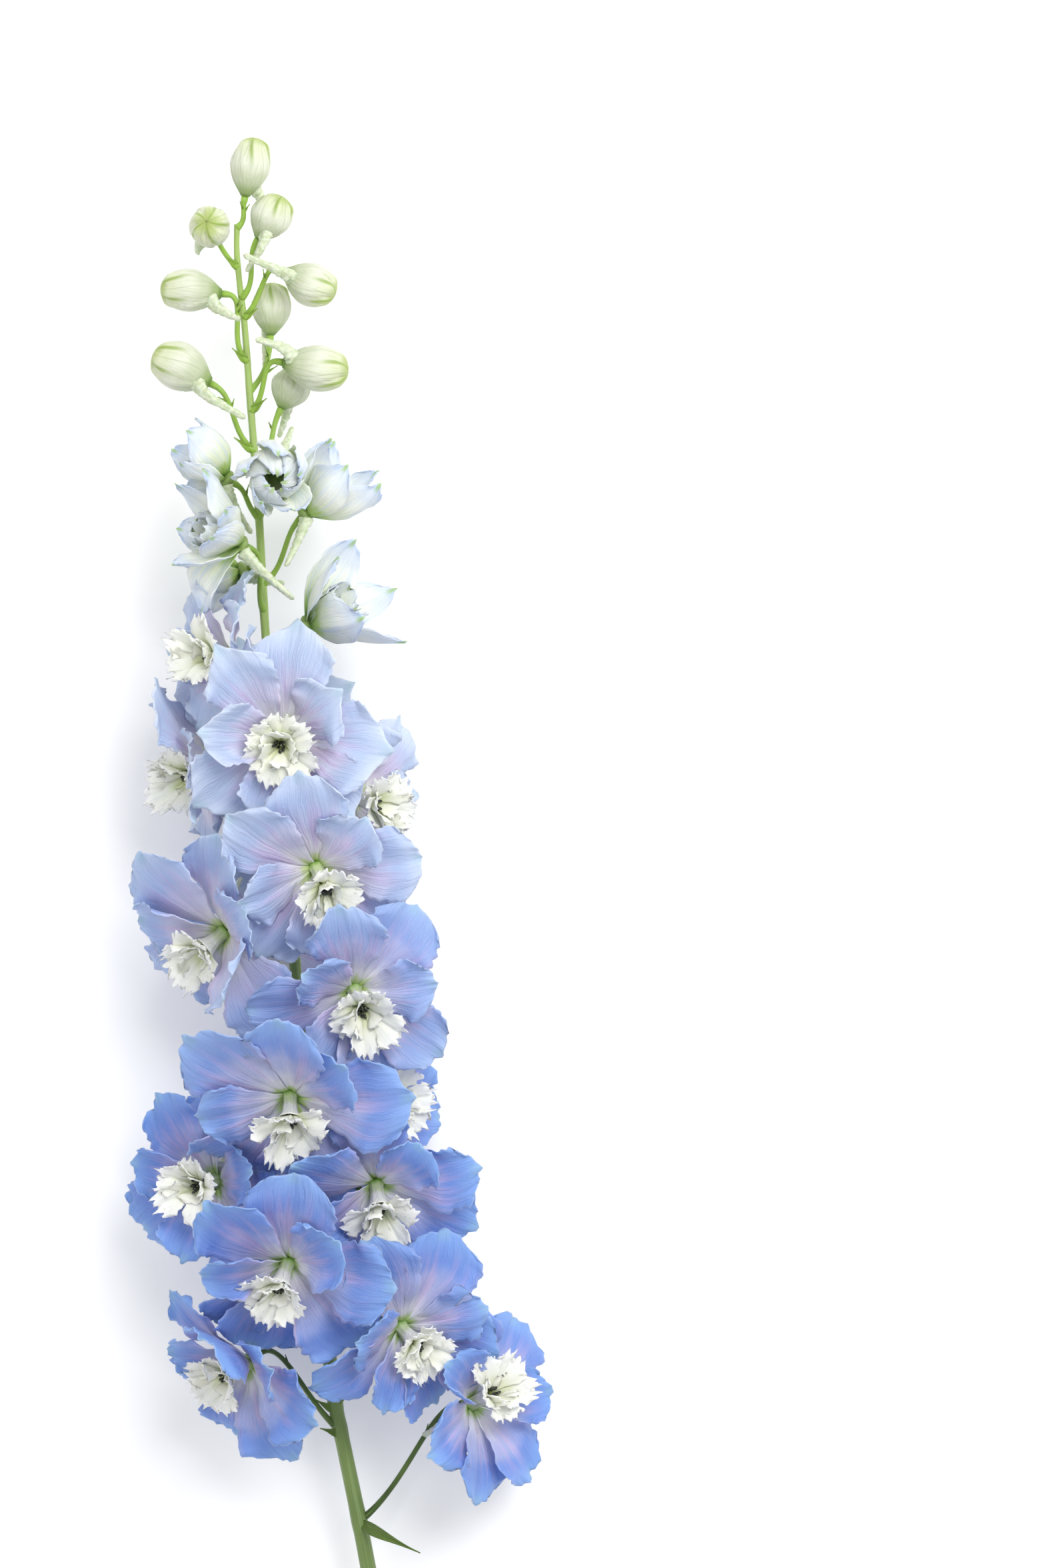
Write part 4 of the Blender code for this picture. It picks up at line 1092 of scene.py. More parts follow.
class Graph:
    """A material's nodes, added one value at a time."""

    def __init__(self, name: str) -> None:
        """Start a material with its one shader.

        Args:
            name: The material's name.
        """
        self.material = bpy.data.materials.new(name)
        self.material.use_nodes = True
        self.tree = self.material.node_tree
        self.shader = self.tree.nodes["Principled BSDF"]

    def node(self, kind: str, inputs: dict, **settings: object) -> bpy.types.Node:
        """Add a node.

        Args:
            kind: Its type.
            inputs: What its inputs are set or linked to.
            settings: Its own settings.

        Returns:
            The node.
        """
        made = self.tree.nodes.new(kind)
        for name, value in settings.items():
            setattr(made, name, value)
        for name, value in inputs.items():
            self.put(made.inputs[name], value)
        return made

    def put(self, socket: bpy.types.NodeSocket, value: object) -> None:
        """Link a socket to another, or set it.

        Args:
            socket: The input.
            value: Another socket, or the value itself.
        """
        if isinstance(value, bpy.types.NodeSocket):
            self.tree.links.new(value, socket)
        else:
            socket.default_value = value

    def math(self, operation: str, *values: object) -> bpy.types.NodeSocket:
        """The result of a sum on one, two or three values."""
        return self.node("ShaderNodeMath", dict(enumerate(values)), operation=operation).outputs[0]

    def times(self, *values: object) -> bpy.types.NodeSocket:
        """The product of two or more values."""
        return reduce(lambda product, value: self.math("MULTIPLY", product, value), values)

    def varied(self, noise: object, amount: float, base: object) -> bpy.types.NodeSocket:
        """A value that a noise moves up and down by half an amount."""
        return self.math("MULTIPLY_ADD", self.math("SUBTRACT", noise, 0.5), amount, base)

    def uv(self) -> tuple[bpy.types.NodeSocket, bpy.types.NodeSocket]:
        """Places across and along a petal or limb.

        Returns:
            Both places, each from 0 to 1.
        """
        place = self.node("ShaderNodeUVMap", {}, uv_map="UVMap").outputs[0]
        parts = self.node("ShaderNodeSeparateXYZ", {0: place})
        return parts.outputs[0], parts.outputs[1]

    def mark(self, name: str) -> bpy.types.NodeSocket:
        """One of the marks that the mesh carries."""
        return self.node("ShaderNodeAttribute", {}, attribute_name=name).outputs["Fac"]

    def grain(self, vector: object, scale: float, detail: float = 2.0) -> bpy.types.NodeSocket:
        """Smooth noise from 0 to 1, about 0.5."""
        inputs = {"Vector": vector, "Scale": scale, "Detail": detail}
        return self.node("ShaderNodeTexNoise", inputs).outputs["Fac"]

    def specks(self, scale: float, detail: float = 2.0) -> bpy.types.NodeSocket:
        """The same noise by the place in the part's own frame; scale is per metre."""
        return self.grain(self.node("ShaderNodeTexCoord", {}).outputs["Object"], scale, detail)

    def stretched(self, across: object, along: object, scales: tuple[float, float], shift: object = 0.0,
                  detail: float = 2.0) -> bpy.types.NodeSocket:
        """The same noise, drawn out along a petal or limb.

        Args:
            across: Place across it.
            along: Place along it.
            scales: How fine the noise is across and along.
            shift: What sets one petal's noise apart from another's.
            detail: How many finer layers it has.

        Returns:
            The noise.
        """
        inputs = {0: self.times(across, scales[0]), 1: self.times(along, scales[1]), 2: shift}
        return self.grain(self.node("ShaderNodeCombineXYZ", inputs).outputs[0], 1.0, detail)

    def fade(self, value: object, low: float, high: float) -> bpy.types.NodeSocket:
        """0 below low, 1 above high and smooth between; the other way round where low is above high."""
        inputs = {"Value": value, "From Min": low, "From Max": high}
        return self.node("ShaderNodeMapRange", inputs, interpolation_type="SMOOTHSTEP").outputs[0]

    def mix(self, share: object, one: object, other: object) -> bpy.types.NodeSocket:
        """A colour between two others."""
        return self.node("ShaderNodeMix", {0: share, 6: one, 7: other}, data_type="RGBA").outputs[2]

    def tinted(self, base: object, mask: object, share: float, tint: Colour) -> bpy.types.NodeSocket:
        """A colour drawn towards a tint where a mask is 1, as far as a share."""
        return self.mix(self.times(mask, share), base, linear(tint))

    def ramp(self, value: object, stops: Sequence[tuple[float, Colour]]) -> bpy.types.NodeSocket:
        """Read a colour from stops.

        Args:
            value: The place between the stops.
            stops: Place and colour of each.

        Returns:
            The colour there, eased from one stop to the next.
        """
        made = self.node("ShaderNodeValToRGB", {0: value})
        band = made.color_ramp
        band.interpolation = "EASE"
        while len(band.elements) < len(stops):
            band.elements.new(0.5)
        for element, (place, colour) in zip(band.elements, stops):
            element.position = place
            element.color = linear(colour)
        return made.outputs[0]

    def bump(self, height: object, distance: float) -> None:
        """Let a height shape the shader's normal; distance in mm."""
        inputs = {"Height": height, "Distance": distance * MM, "Strength": 1.0}
        self.put(self.shader.inputs["Normal"], self.node("ShaderNodeBump", inputs).outputs[0])

    def set(self, **values: object) -> None:
        """Set the shader's own inputs, named with underscores for spaces."""
        for name, value in values.items():
            self.put(self.shader.inputs[name.replace("_", " ")], value)


@dataclass(frozen=True)
class PetalFinish:
    """Thin living petal: a green throat, streaks, fine veins that fan out to a paler margin, a painted edge
    highlight.

    Attributes:
        name: The material's name.
        light: Colours along a petal where the mark tone is 0.
        deep: Colours along a petal where tone is 1.
        streak: Colour of the broad streaks over the lower half.
        vein: Colour of the veins.
        tip: Colour of the spot at the tip.
        veins: How many veins cross a petal.
        vein_share: How strongly the veins show.
        streak_share: How strongly the streaks show.
        tip_share: How strongly the spot shows.
        glow: Share of light that passes into the tissue.
        roughness: Roughness of the skin.
        relief: Height of its relief in mm.
        rim: The shader's values for the painted highlight on the thin edge.
        edge_highlight_share: How strongly the painted highlight on the edge shows.
    """

    name: str
    light: tuple
    deep: tuple
    streak: Colour
    vein: Colour
    tip: Colour
    veins: float = 17.0
    vein_share: float = 0.30
    streak_share: float = 0.55
    tip_share: float = 0.5
    glow: float = 0.35
    roughness: float = 0.52
    relief: float = 0.42
    rim: tuple = (0.92, 0.94, 1.0, 1.0)
    edge_highlight_share: float = 0.08

    def build(self) -> bpy.types.Material:
        """Make the material.

        Returns:
            The material.
        """
        g = Graph(self.name)
        across, along = g.uv()
        shift = g.times(g.mark("luck"), 37.0)
        drift = g.stretched(across, along, (2.6, 3.0), shift, 3.0)
        reach = g.varied(drift, 0.34, along)
        colour = g.mix(g.mark("tone"), g.ramp(reach, self.light), g.ramp(reach, self.deep))

        line = g.varied(g.stretched(across, along, (4.0, 2.2), shift), 0.16, across)
        coarse = g.fade(self.comb(g, line, self.veins), 0.34, 0.0)
        fine = g.times(g.fade(self.comb(g, line, 2.0 * self.veins), 0.5, 0.0), g.fade(along, 0.3, 0.7))
        veins = g.math("MAXIMUM", coarse, g.times(fine, 0.7))
        shown = g.times(veins, g.fade(along, 0.05, 0.3), g.fade(drift, 0.28, 0.55), g.fade(along, 1.02, 0.75))

        bands = g.fade(g.stretched(across, along, (9.0, 1.3), shift), 0.44, 0.66)
        bands = g.times(bands, g.fade(along, 0.10, 0.28), g.fade(along, 0.95, 0.45))
        middle = g.math("ABSOLUTE", g.math("SUBTRACT", across, 0.5))
        spot = g.times(g.fade(middle, 0.13, 0.02), g.fade(along, 0.86, 0.96))
        # Painted highlight: this mask picks the thin edges and the end, and below they are drawn towards near
        # white.
        rim = g.math("MAXIMUM", g.fade(middle, 0.46, 0.5), g.fade(along, 0.975, 1.0))
        colour = g.tinted(colour, bands, self.streak_share, self.streak)
        colour = g.tinted(colour, shown, self.vein_share, self.vein)
        colour = g.tinted(colour, spot, self.tip_share, self.tip)
        colour = g.mix(g.times(rim, self.edge_highlight_share), colour, self.rim)

        pleats = g.stretched(line, along, (22.0, 2.0), shift, 3.0)
        height = g.math("MULTIPLY_ADD", pleats, 0.8, g.times(shown, -0.06))
        g.bump(g.math("MULTIPLY_ADD", g.specks(1500.0), 0.14, height), self.relief)
        g.set(Base_Color=colour, Roughness=self.roughness, Specular_IOR_Level=0.32, Sheen_Weight=0.12,
              Sheen_Roughness=0.45, Subsurface_Weight=self.glow, Subsurface_Scale=0.0016,
              Subsurface_Radius=(0.9, 0.95, 1.2))
        return g.material

    @staticmethod
    def comb(g: Graph, line: object, count: float) -> bpy.types.NodeSocket:
        """0 on each of a number of lines across a petal, and 1 between them."""
        return g.math("ABSOLUTE", g.math("SINE", g.times(line, count * math.pi)))


OPEN_FINISH = PetalFinish(
    name="open_sepal",
    light=((0.0, (140, 180, 62)), (0.09, (206, 220, 156)), (0.20, (228, 226, 232)), (0.46, (205, 203, 228)),
           (0.74, (180, 196, 228)), (1.0, (196, 208, 235))),
    deep=((0.0, (92, 136, 28)), (0.07, (160, 188, 104)), (0.16, (216, 216, 226)), (0.42, (160, 168, 214)),
          (0.70, (108, 139, 210)), (1.0, (122, 158, 224))),
    streak=(200, 172, 214), vein=(78, 96, 184), tip=(142, 182, 190), veins=21.0, vein_share=0.34,
    streak_share=0.46, tip_share=0.35, relief=0.6,
)
YOUNG_FINISH = PetalFinish(
    name="young_sepal",
    light=((0.0, (96, 146, 34)), (0.15, (168, 196, 102)), (0.34, (224, 231, 202)), (0.62, (236, 239, 231)),
           (0.86, (214, 223, 238)), (1.0, (186, 203, 234))),
    deep=((0.0, (92, 142, 32)), (0.15, (164, 192, 104)), (0.34, (220, 228, 208)), (0.62, (220, 228, 236)),
          (0.86, (190, 206, 236)), (1.0, (170, 192, 232))),
    streak=(190, 208, 240), vein=(158, 178, 150), tip=(150, 186, 66), vein_share=0.42, streak_share=0.5,
    tip_share=0.8,
)
HEART_FINISH = replace(
    YOUNG_FINISH, name="heart_petal",
    light=((0.0, (130, 168, 66)), (0.30, (208, 222, 168)), (0.62, (238, 242, 226)), (0.9, (226, 233, 238)),
           (1.0, (206, 218, 238))),
)
BEE_FINISH = PetalFinish(
    name="bee_petal",
    light=((0.0, (176, 196, 112)), (0.2, (214, 223, 174)), (0.48, (236, 239, 220)), (1.0, (245, 246, 238))),
    deep=((0.0, (160, 184, 96)), (0.20, (224, 230, 198)), (0.45, (247, 247, 238)), (1.0, (253, 253, 250))),
    streak=(236, 238, 214), vein=(222, 225, 200), tip=(250, 250, 246), veins=9.0, vein_share=0.2,
    streak_share=0.35, tip_share=0.0, glow=0.5, roughness=0.58, relief=0.2,
)
TRUMPET_FINISH = PetalFinish(
    name="bee_trumpet",
    light=((0.0, (128, 170, 62)), (0.30, (196, 212, 158)), (0.65, (230, 234, 220)), (1.0, (240, 241, 232))),
    deep=((0.0, (96, 140, 40)), (0.30, (176, 192, 150)), (0.65, (216, 216, 220)), (1.0, (236, 236, 230))),
    streak=(176, 168, 190), vein=(120, 150, 84), tip=(236, 236, 230), veins=10.0, vein_share=0.5,
    streak_share=0.45, tip_share=0.0,
)


@dataclass(frozen=True)
class GreenFinish:
    """Stem, pedicels and bracts: satin green with fine lengthwise lines."""

    name: str
    low: Colour
    high: Colour
    line: Colour

    def build(self) -> bpy.types.Material:
        """Make the material.

        Returns:
            The material.
        """
        g = Graph(self.name)
        around, along = g.uv()
        patches = g.specks(55.0, 4.0)
        colour = g.mix(g.varied(patches, 0.5, g.mark("tone")), linear(self.low), linear(self.high))
        lines = g.stretched(around, along, (26.0, 7.0), detail=3.0)
        colour = g.tinted(colour, g.fade(lines, 0.46, 0.70), 0.45, self.line)
        specks = g.specks(1400.0, 1.0)
        colour = g.tinted(colour, g.fade(specks, 0.62, 0.74), 0.18, self.low)
        g.bump(g.math("MULTIPLY_ADD", specks, 0.2, lines), 0.22)
        g.set(Base_Color=colour, Roughness=g.math("MULTIPLY_ADD", patches, 0.2, 0.32),
              Specular_IOR_Level=0.42, Subsurface_Weight=0.12, Subsurface_Scale=0.001, Coat_Weight=0.06,
              Coat_Roughness=0.35)
        return g.material


@dataclass(frozen=True)
class BudFinish:
    """Closed sepals: cream over a green base, with a green rib to each sepal near the tip."""

    name: str
    along: tuple
    rib: Colour
    seam: Colour

    def build(self) -> bpy.types.Material:
        """Make the material.

        Returns:
            The material.
        """
        g = Graph(self.name)
        around, upward = g.uv()
        turn = g.math("COSINE", g.times(g.math("SUBTRACT", 1.0, upward), math.pi))
        along = g.math("MULTIPLY_ADD", turn, -0.5, 0.5)
        turned = g.math("ADD", g.math("MULTIPLY_ADD", along, BUD_TWIST, around), 0.25)
        sector = g.math("FRACT", g.times(turned, BUD_SEPALS))
        rib = g.fade(g.math("ABSOLUTE", g.math("SUBTRACT", sector, 0.5)), 0.15, 0.01)
        rib = g.times(rib, g.fade(along, 0.42, 0.78), g.fade(g.specks(160.0, 1.0), 0.2, 0.45))
        seam = g.math("MAXIMUM", g.fade(sector, 0.95, 1.0), g.fade(sector, 0.03, 0.0))
        veins = g.stretched(around, along, (60.0, 3.0), g.mark("luck"), 3.0)
        colour = g.ramp(g.varied(g.specks(120.0, 3.0), 0.18, along), self.along)
        colour = g.tinted(colour, rib, 0.85, self.rib)
        colour = g.tinted(colour, seam, 0.3, self.seam)
        colour = g.tinted(colour, g.fade(veins, 0.5, 0.72), 0.28, self.rib)
        g.bump(g.math("MULTIPLY_ADD", g.specks(1300.0), 0.25, veins), 0.28)
        g.set(Base_Color=colour, Roughness=0.5, Specular_IOR_Level=0.35, Subsurface_Weight=0.25,
              Subsurface_Scale=0.002, Subsurface_Radius=(0.9, 1.0, 0.7), Sheen_Weight=0.1)
        return g.material


@dataclass(frozen=True)
class SpurFinish:
    """Crinkled skin of a spur: green-white with painted shade in the hollows of its folds, and lilac where
    the mark tone is 1.
    """

    name: str
    skin: Colour
    old: Colour
    fold: Colour

    def build(self) -> bpy.types.Material:
        """Make the material.

        Returns:
            The material.
        """
        g = Graph(self.name)
        folds = g.specks(620.0, 3.0)
        base = g.mix(g.mark("tone"), linear(self.skin), linear(self.old))
        # Painted shade: where the fold noise sinks the bump, the skin is drawn towards the darker fold
        # colour.
        colour = g.tinted(base, g.fade(folds, 0.60, 0.36), 0.7, self.fold)
        g.bump(folds, 0.45)
        g.set(Base_Color=colour, Roughness=0.42, Specular_IOR_Level=0.45, Subsurface_Weight=0.25,
              Subsurface_Scale=0.001)
        return g.material


@dataclass(frozen=True)
class AntherFinish:
    """Anthers: near black with a green cast, dusted with pale pollen."""

    name: str
    skin: Colour
    pollen: Colour

    def build(self) -> bpy.types.Material:
        """Make the material.

        Returns:
            The material.
        """
        g = Graph(self.name)
        dust = g.specks(2600.0)
        g.bump(dust, 0.12)
        colour = g.tinted(linear(self.skin), g.fade(dust, 0.60, 0.70), 0.7, self.pollen)
        g.set(Base_Color=colour, Roughness=0.5)
        return g.material


STEM_FINISH = GreenFinish("stem_skin", (88, 110, 56), (166, 192, 104), (150, 172, 122))
STALK_FINISH = GreenFinish("stalk_skin", (56, 78, 30), (150, 186, 74), (120, 150, 72))
BUD_FINISH = BudFinish(
    name="bud_skin",
    along=((0.0, (106, 138, 58)), (0.09, (156, 174, 118)), (0.26, (194, 201, 172)), (0.55, (217, 220, 201)),
           (0.82, (212, 217, 184)), (1.0, (172, 188, 108))),
    rib=(138, 164, 60), seam=(124, 144, 92),
)
# Its last colour is the painted shade in the hollows of the spur's folds.
SPUR_FINISH = SpurFinish("spur_skin", (214, 222, 196), (190, 188, 206), (180, 196, 150))
ANTHER_FINISH = AntherFinish("anther_skin", (22, 30, 24), (196, 198, 160))


class Finishes:
    """All materials of the spike, each made once."""

    def __init__(self) -> None:
        """Build the materials."""
        self.open = OPEN_FINISH.build()
        self.young = YOUNG_FINISH.build()
        self.heart = HEART_FINISH.build()
        self.bee = BEE_FINISH.build()
        self.trumpet = TRUMPET_FINISH.build()
        self.stem = STEM_FINISH.build()
        self.stalk = STALK_FINISH.build()
        self.bud = BUD_FINISH.build()
        self.spur = SPUR_FINISH.build()
        self.anther = ANTHER_FINISH.build()


def tone_at(y: float) -> float:
    """How deep the blue of a floret is at a height: pale near the tip, full from the middle down."""
    return max(0.0, min(1.0, (BLUE_FROM_Y - y) / BLUE_OVER))


def crinkled(root: float, tip: float, seed: float) -> Radius:
    """Form of a spur: it narrows from its root to its tip, with folds and a blunt end.

    Args:
        root: Radius at its root, in mm.
        tip: Radius near its tip, in mm.
        seed: What sets its folds apart from another's.

    Returns:
        The radius at a share of its length and an angle.
    """

    def radius(share: float, angle: float) -> float:
        """Work out how far the skin stands out.

        Args:
            share: Share of the length from the root.
            angle: Angle round the spur.

        Returns:
            The radius in mm.
        """
        size = tip + (root - tip) * (1.0 - share) ** 1.6
        spot = Vector((1.1 * math.cos(angle), 1.1 * math.sin(angle), 9.0 * share + seed))
        folds = 0.24 * noise.noise(spot * 1.3) + 0.16 * noise.noise(spot * 3.1)
        folds += 0.05 * math.sin(60.0 * share + 2.0 * math.sin(angle))
        flat = 0.86 + 0.14 * math.cos(2.0 * angle)
        end = math.sqrt(max(0.0, 1.0 - max(0.0, (share - 0.94) / 0.06) ** 2)) * 0.7 + 0.3
        return size * (flat + folds) * end

    return radius


@dataclass
class Flower:
    """What every flower has: sepals on a receptacle, and a crinkled spur.

    Attributes:
        bloom: Its layout.
        finishes: The spike's materials.
        place: Its middle and the direction in which it looks.
        tone: How blue it is, from 0 to 1.
        receptacle_tone: How pale the green of its receptacle is, from 0 to 1.
        spur_cuts: How many stretches its spur is cut into.
        spur_fullness: Radius of the spur's root against the part's.
    """

    bloom: Bloom
    finishes: Finishes
    place: Place = field(init=False)
    tone: float = field(init=False)
    receptacle_tone: float = 0.55
    spur_cuts: int = 34
    spur_fullness: float = 1.25

    def __post_init__(self) -> None:
        """Work out where it looks and how blue it is."""
        self.place = Place.looking(self.bloom.hub, self.bloom.facing)
        self.tone = tone_at(self.bloom.hub[1])

    @property
    def node(self) -> str:
        """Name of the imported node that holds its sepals."""
        return self.bloom.name + ("_sepals" if self.bloom.bee else "")

    @property
    def slot(self) -> Slot:
        """Slot of its sepals."""
        return Slot.PALE if self.bloom.pale else Slot.BLUE

    def sepals(self, fit: FrameFit, margin: Margin, grid: tuple[int, int],
               finish: bpy.types.Material) -> None:
        """Lay its sepals as fine sheets where the part has them, then those that only it has.

        Args:
            fit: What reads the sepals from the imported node.
            margin: What the fine sheets add.
            grid: Columns across and rows along a sheet.
            finish: Their material.
        """
        clay = Clay()
        draw = random.Random(self.bloom.name + "_fine")
        rings = rings_of(self.bloom)
        for k, start in enumerate(sepals_of(self.bloom)):
            own = replace(margin, tuck=INNER_TUCK * rings[k])
            petal = Petal(fit.settled(start, self.place), own, self.place, f"{self.bloom.name}{k}")
            tone = max(0.0, min(1.0, self.tone + draw.uniform(-0.1, 0.1)))
            clay.sheet(petal.point, grid, tone, draw.random())
        for turn in self.bloom.behind:
            root_rise, tip_rise = BEHIND_RISES
            outer = replace(sepals_of(self.bloom)[0], root_rise=root_rise, tip_rise=tip_rise, turn=turn)
            petal = Petal(outer, margin, self.place, f"{self.bloom.name}behind{turn}")
            clay.sheet(petal.point, grid, self.tone, draw.random())
        clay.piece(self.bloom.name + "_corolla", finish, (self.node,), SHEET_THICK)

    def receptacle(self) -> None:
        """Green cushion that the sepals grow from."""
        step = (HUB_BACK + HUB_FRONT) / RECEPTACLE_CUTS
        heights = [step * i - HUB_BACK for i in range(RECEPTACLE_CUTS + 1)]
        line = [self.place.origin + self.place.forward * height for height in heights]
        clay = Clay()
        clay.limb(line, lambda share, angle: interpolate(RECEPTACLE_FORM, share), SPUR_SIDES,
                  self.receptacle_tone, 0.0)
        clay.closed()
        clay.piece(self.bloom.name + "_receptacle", self.finishes.stem)

    def spur(self) -> None:
        """Crinkled spur behind the flower."""
        line = spur_line(self.bloom, self.place, self.spur_cuts)
        radius = crinkled(self.spur_fullness * SPUR_RADII[0], SPUR_RADII[1], self.bloom.hub[0])
        clay = Clay()
        clay.limb(line, radius, SPUR_SIDES, self.tone, 0.0)
        for vert in clay.bm.verts:
            vert.co.z = max(vert.co.z, 0.0)
        clay.closed()
        clay.piece(self.bloom.name + "_spur", self.finishes.spur)


@dataclass
class Floret(Flower):
    """An open floret: sepals, spur, and the ragged white bee round dark stamens.

    Attributes:
        lips: How many petals the bee's inner ring has.
        lip_length: Their length against the outer petals'.
        lip_width: Their width against the outer petals'.
        lip_rises: Angles above the mouth at their root and tip.
        lip_cup: How hollow they are.
        hairs: How many hairs an outer petal has.
        hair_lengths: Shortest and longest hair, in mm.
        hair_radii: Radii of a hair at its root and tip, in mm.
        anthers: How many stamens there are.
        crowd: How far from the bee's middle they may stand, in mm.
        filament_radii: Radii of a filament at its foot and head, in mm.
        anther_form: Half sizes of an anther, in mm.
    """

    lips: int = 4
    lip_length: float = 0.62
    lip_width: float = 0.85
    lip_rises: tuple = (76.0, 30.0)
    lip_cup: float = 0.4
    hairs: int = 16
    hair_lengths: tuple = (0.9, 1.7)
    hair_radii: tuple = (0.07, 0.015)
    anthers: int = 11
    crowd: float = 1.9
    filament_radii: tuple = (0.16, 0.12)
    anther_form: tuple = (0.50, 0.42, 0.92)

    def dress(self, nodes: dict) -> None:
        """Build all pieces of the floret.

        Args:
            nodes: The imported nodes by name.
        """
        margin = PALE_MARGIN if self.bloom.pale else SEPAL_MARGIN
        grid = LYING_GRID if self.bloom.under else SEPAL_GRID
        self.sepals(FrameFit(nodes[self.node]), margin, grid, self.finishes.open)
        self.receptacle()
        self.spur()
        self.bee()
        self.stamens()

    def foot(self) -> Vector:
        """Where the bee stands on the receptacle."""
        return self.place.origin + self.place.forward * (HUB_FRONT + SEAT_GAP)

    def bee(self) -> None:
        """Two rings of ragged petals on a trumpet, with a beard of short hairs."""
        name = self.bloom.name
        away, length = bee_line(self.bloom)
        place = Place.looking(self.foot(), away)
        draw = random.Random(name + "_ragged")
        outer = [self.hung(blade, place) for blade in bee_petals_of(self.bloom)]
        blades = outer + [self.lip(outer[k % len(outer)], k, draw) for k in range(self.lips)]
        petals = [Petal(blade, BEE_MARGIN, place, f"{name}_bee{k}") for k, blade in enumerate(blades)]
        clay = Clay()
        for k, petal in enumerate(petals):
            grid = BEE_GRID if k < len(outer) else INNER_BEE_GRID
            clay.sheet(petal.point, grid, 0.5 * self.tone, draw.random())
        clay.piece(name + "_bee_petals", self.finishes.bee, (name + "_bee",), SHEET_THICK)
        self.trumpet(place, length)
        self.beard(petals[:len(outer)], draw)

    def hung(self, blade: Blade, place: Place) -> Blade:
        """A bee petal as it hangs on a bee that leans over.

        Args:
            blade: The petal as it would flare on an upright bee.
            place: The foot of the bee, looking along it.

        Returns:
            The petal: below the mouth it follows the bee and is longer, above it is a short lip, and
            beside it turns its face up.
        """
        turn = math.radians(blade.turn)
        outward = place.up * math.cos(turn) + place.right * math.sin(turn)
        across = place.right * math.cos(turn) - place.up * math.sin(turn)
        below = max(0.0, -outward.z)
        above = max(0.0, outward.z)
        reach = self.bloom.bee_reach * (1.0 + LONGER_BELOW * below - SHORTER_ABOVE * above)
        return replace(blade, root_rise=blade.root_rise + HANG_RISES[0] * below,
                       tip_rise=blade.tip_rise + HANG_RISES[1] * below,
                       tilt=blade.tilt - HANG_TILT * across.z, length=blade.length * reach)

    def lip(self, model: Blade, k: int, draw: random.Random) -> Blade:
        """A petal of the bee's inner ring.

        Args:
            model: The outer petal that it takes after.
            k: Its number in the ring.
            draw: Where its odds come from.

        Returns:
            The petal, shorter and steeper.
        """
        return replace(model, length=self.lip_length * model.length,
                       half_width=self.lip_width * model.half_width,
                       root_rise=self.lip_rises[0] + draw.uniform(-6.0, 6.0),
                       tip_rise=self.lip_rises[1] + draw.uniform(-20.0, 24.0),
                       turn=self.bloom.roll + 360.0 * (k + 0.5) / self.lips, cup=self.lip_cup)

    def trumpet(self, place: Place, length: float) -> None:
        """Tube of the bee, from a wider foot in the throat to its flared mouth.

        Args:
            place: The foot of the bee, looking along it.
            length: The bee's length in mm.
        """
        reach = BEE_MOUTH_SHARE * length + BEE_RIM

        def wall(across: float, along: float) -> Vector:
            """Find a point of the tube's wall, with seven shallow flutes.

            Args:
                across: Place round the tube, from -1 to 1.
                along: Place along it, from 0 to 1.

            Returns:
                The point in mm.
            """
            angle = math.pi * across
            size = 1.45 * BEE_THROAT_RADIUS + (BEE_MOUTH_RADIUS - 1.2 * BEE_THROAT_RADIUS) * along ** 1.3
            size += 0.9 * math.exp(-(along / 0.16) ** 2) + 0.16 * math.cos(7.0 * angle) + along ** 9
            return place.ring((reach + 1.1) * along - 0.8, size, (angle,))[0]

        clay = Clay()
        clay.sheet(wall, TRUMPET_GRID, self.tone, 0.3)
        bmesh.ops.remove_doubles(clay.bm, verts=clay.bm.verts, dist=0.00001)
        clay.piece(self.bloom.name + "_trumpet", self.finishes.trumpet, (), SHEET_THICK)

    def beard(self, petals: Sequence[Petal], draw: random.Random) -> None:
        """Short hairs that stand up from the outer half of the outer petals.

        Args:
            petals: The petals that carry hairs.
            draw: Where the hairs' odds come from.
        """
        clay = Clay()
        for petal in petals:
            for _ in range(self.hairs):
                across = draw.uniform(-0.95, 0.95)
                along = draw.uniform(0.55, 1.0)
                root = petal.point(across, along)
                ahead = petal.point(across, min(1.0, along + 0.05)) - petal.point(across, along - 0.05)
                way = (ahead.normalized() + petal.place.forward * draw.uniform(0.2, 1.4)).normalized()
                clay.rod(root, root + way * draw.uniform(*self.hair_lengths), self.hair_radii, 3)
        clay.piece(self.bloom.name + "_beard", self.finishes.bee)

    def stamens(self) -> None:
        """Dark anthers on short filaments, crowded in the bee's mouth."""
        away, length = bee_line(self.bloom)
        place = Place.looking(self.foot(), away)
        mouth = BEE_MOUTH_SHARE * length
        form = Matrix.Diagonal((*self.anther_form, 1.0))
        draw = random.Random(self.bloom.name + "_stamens")
        clay = Clay()
        for _ in range(self.anthers):
            angle = draw.uniform(0.0, 2.0 * math.pi)
            spread = self.crowd * math.sqrt(draw.random())
            head = place.ring(mouth + draw.uniform(1.0, 3.8), spread, (angle,))[0]
            turn = clay.rod(place.ring(mouth - 1.0, 0.4 * spread, (angle,))[0], head, self.filament_radii, 5)
            nod = Matrix.Rotation(draw.uniform(0.3, 1.3), 4, "X") @ form
            spot = Matrix.Translation(head * MM) @ turn @ nod @ Matrix.Scale(MM, 4)
            clay.grow(bmesh.ops.create_icosphere, 0.0, 0.5, subdivisions=2, radius=1.0, matrix=spot)
        clay.piece(self.bloom.name + "_stamens", self.finishes.anther)


@dataclass(frozen=True)
class Heart:
    """Form of the small petals inside an opening flower, with lengths as shares of its sepals' length."""

    length: float
    half_width: float
    root_rise: float
    tip_rise: float
    root_radius: float
    outline: Callable[[float], float]
    margin: Margin


CUP_HEART = Heart(0.68, 0.20, 66.0, 104.0, 0.11, petal_width, HEART_MARGIN)
GLOBE_HEART = Heart(0.92, 0.33, 40.0, 155.0, 0.22, young_sepal_width, YOUNG_MARGIN)


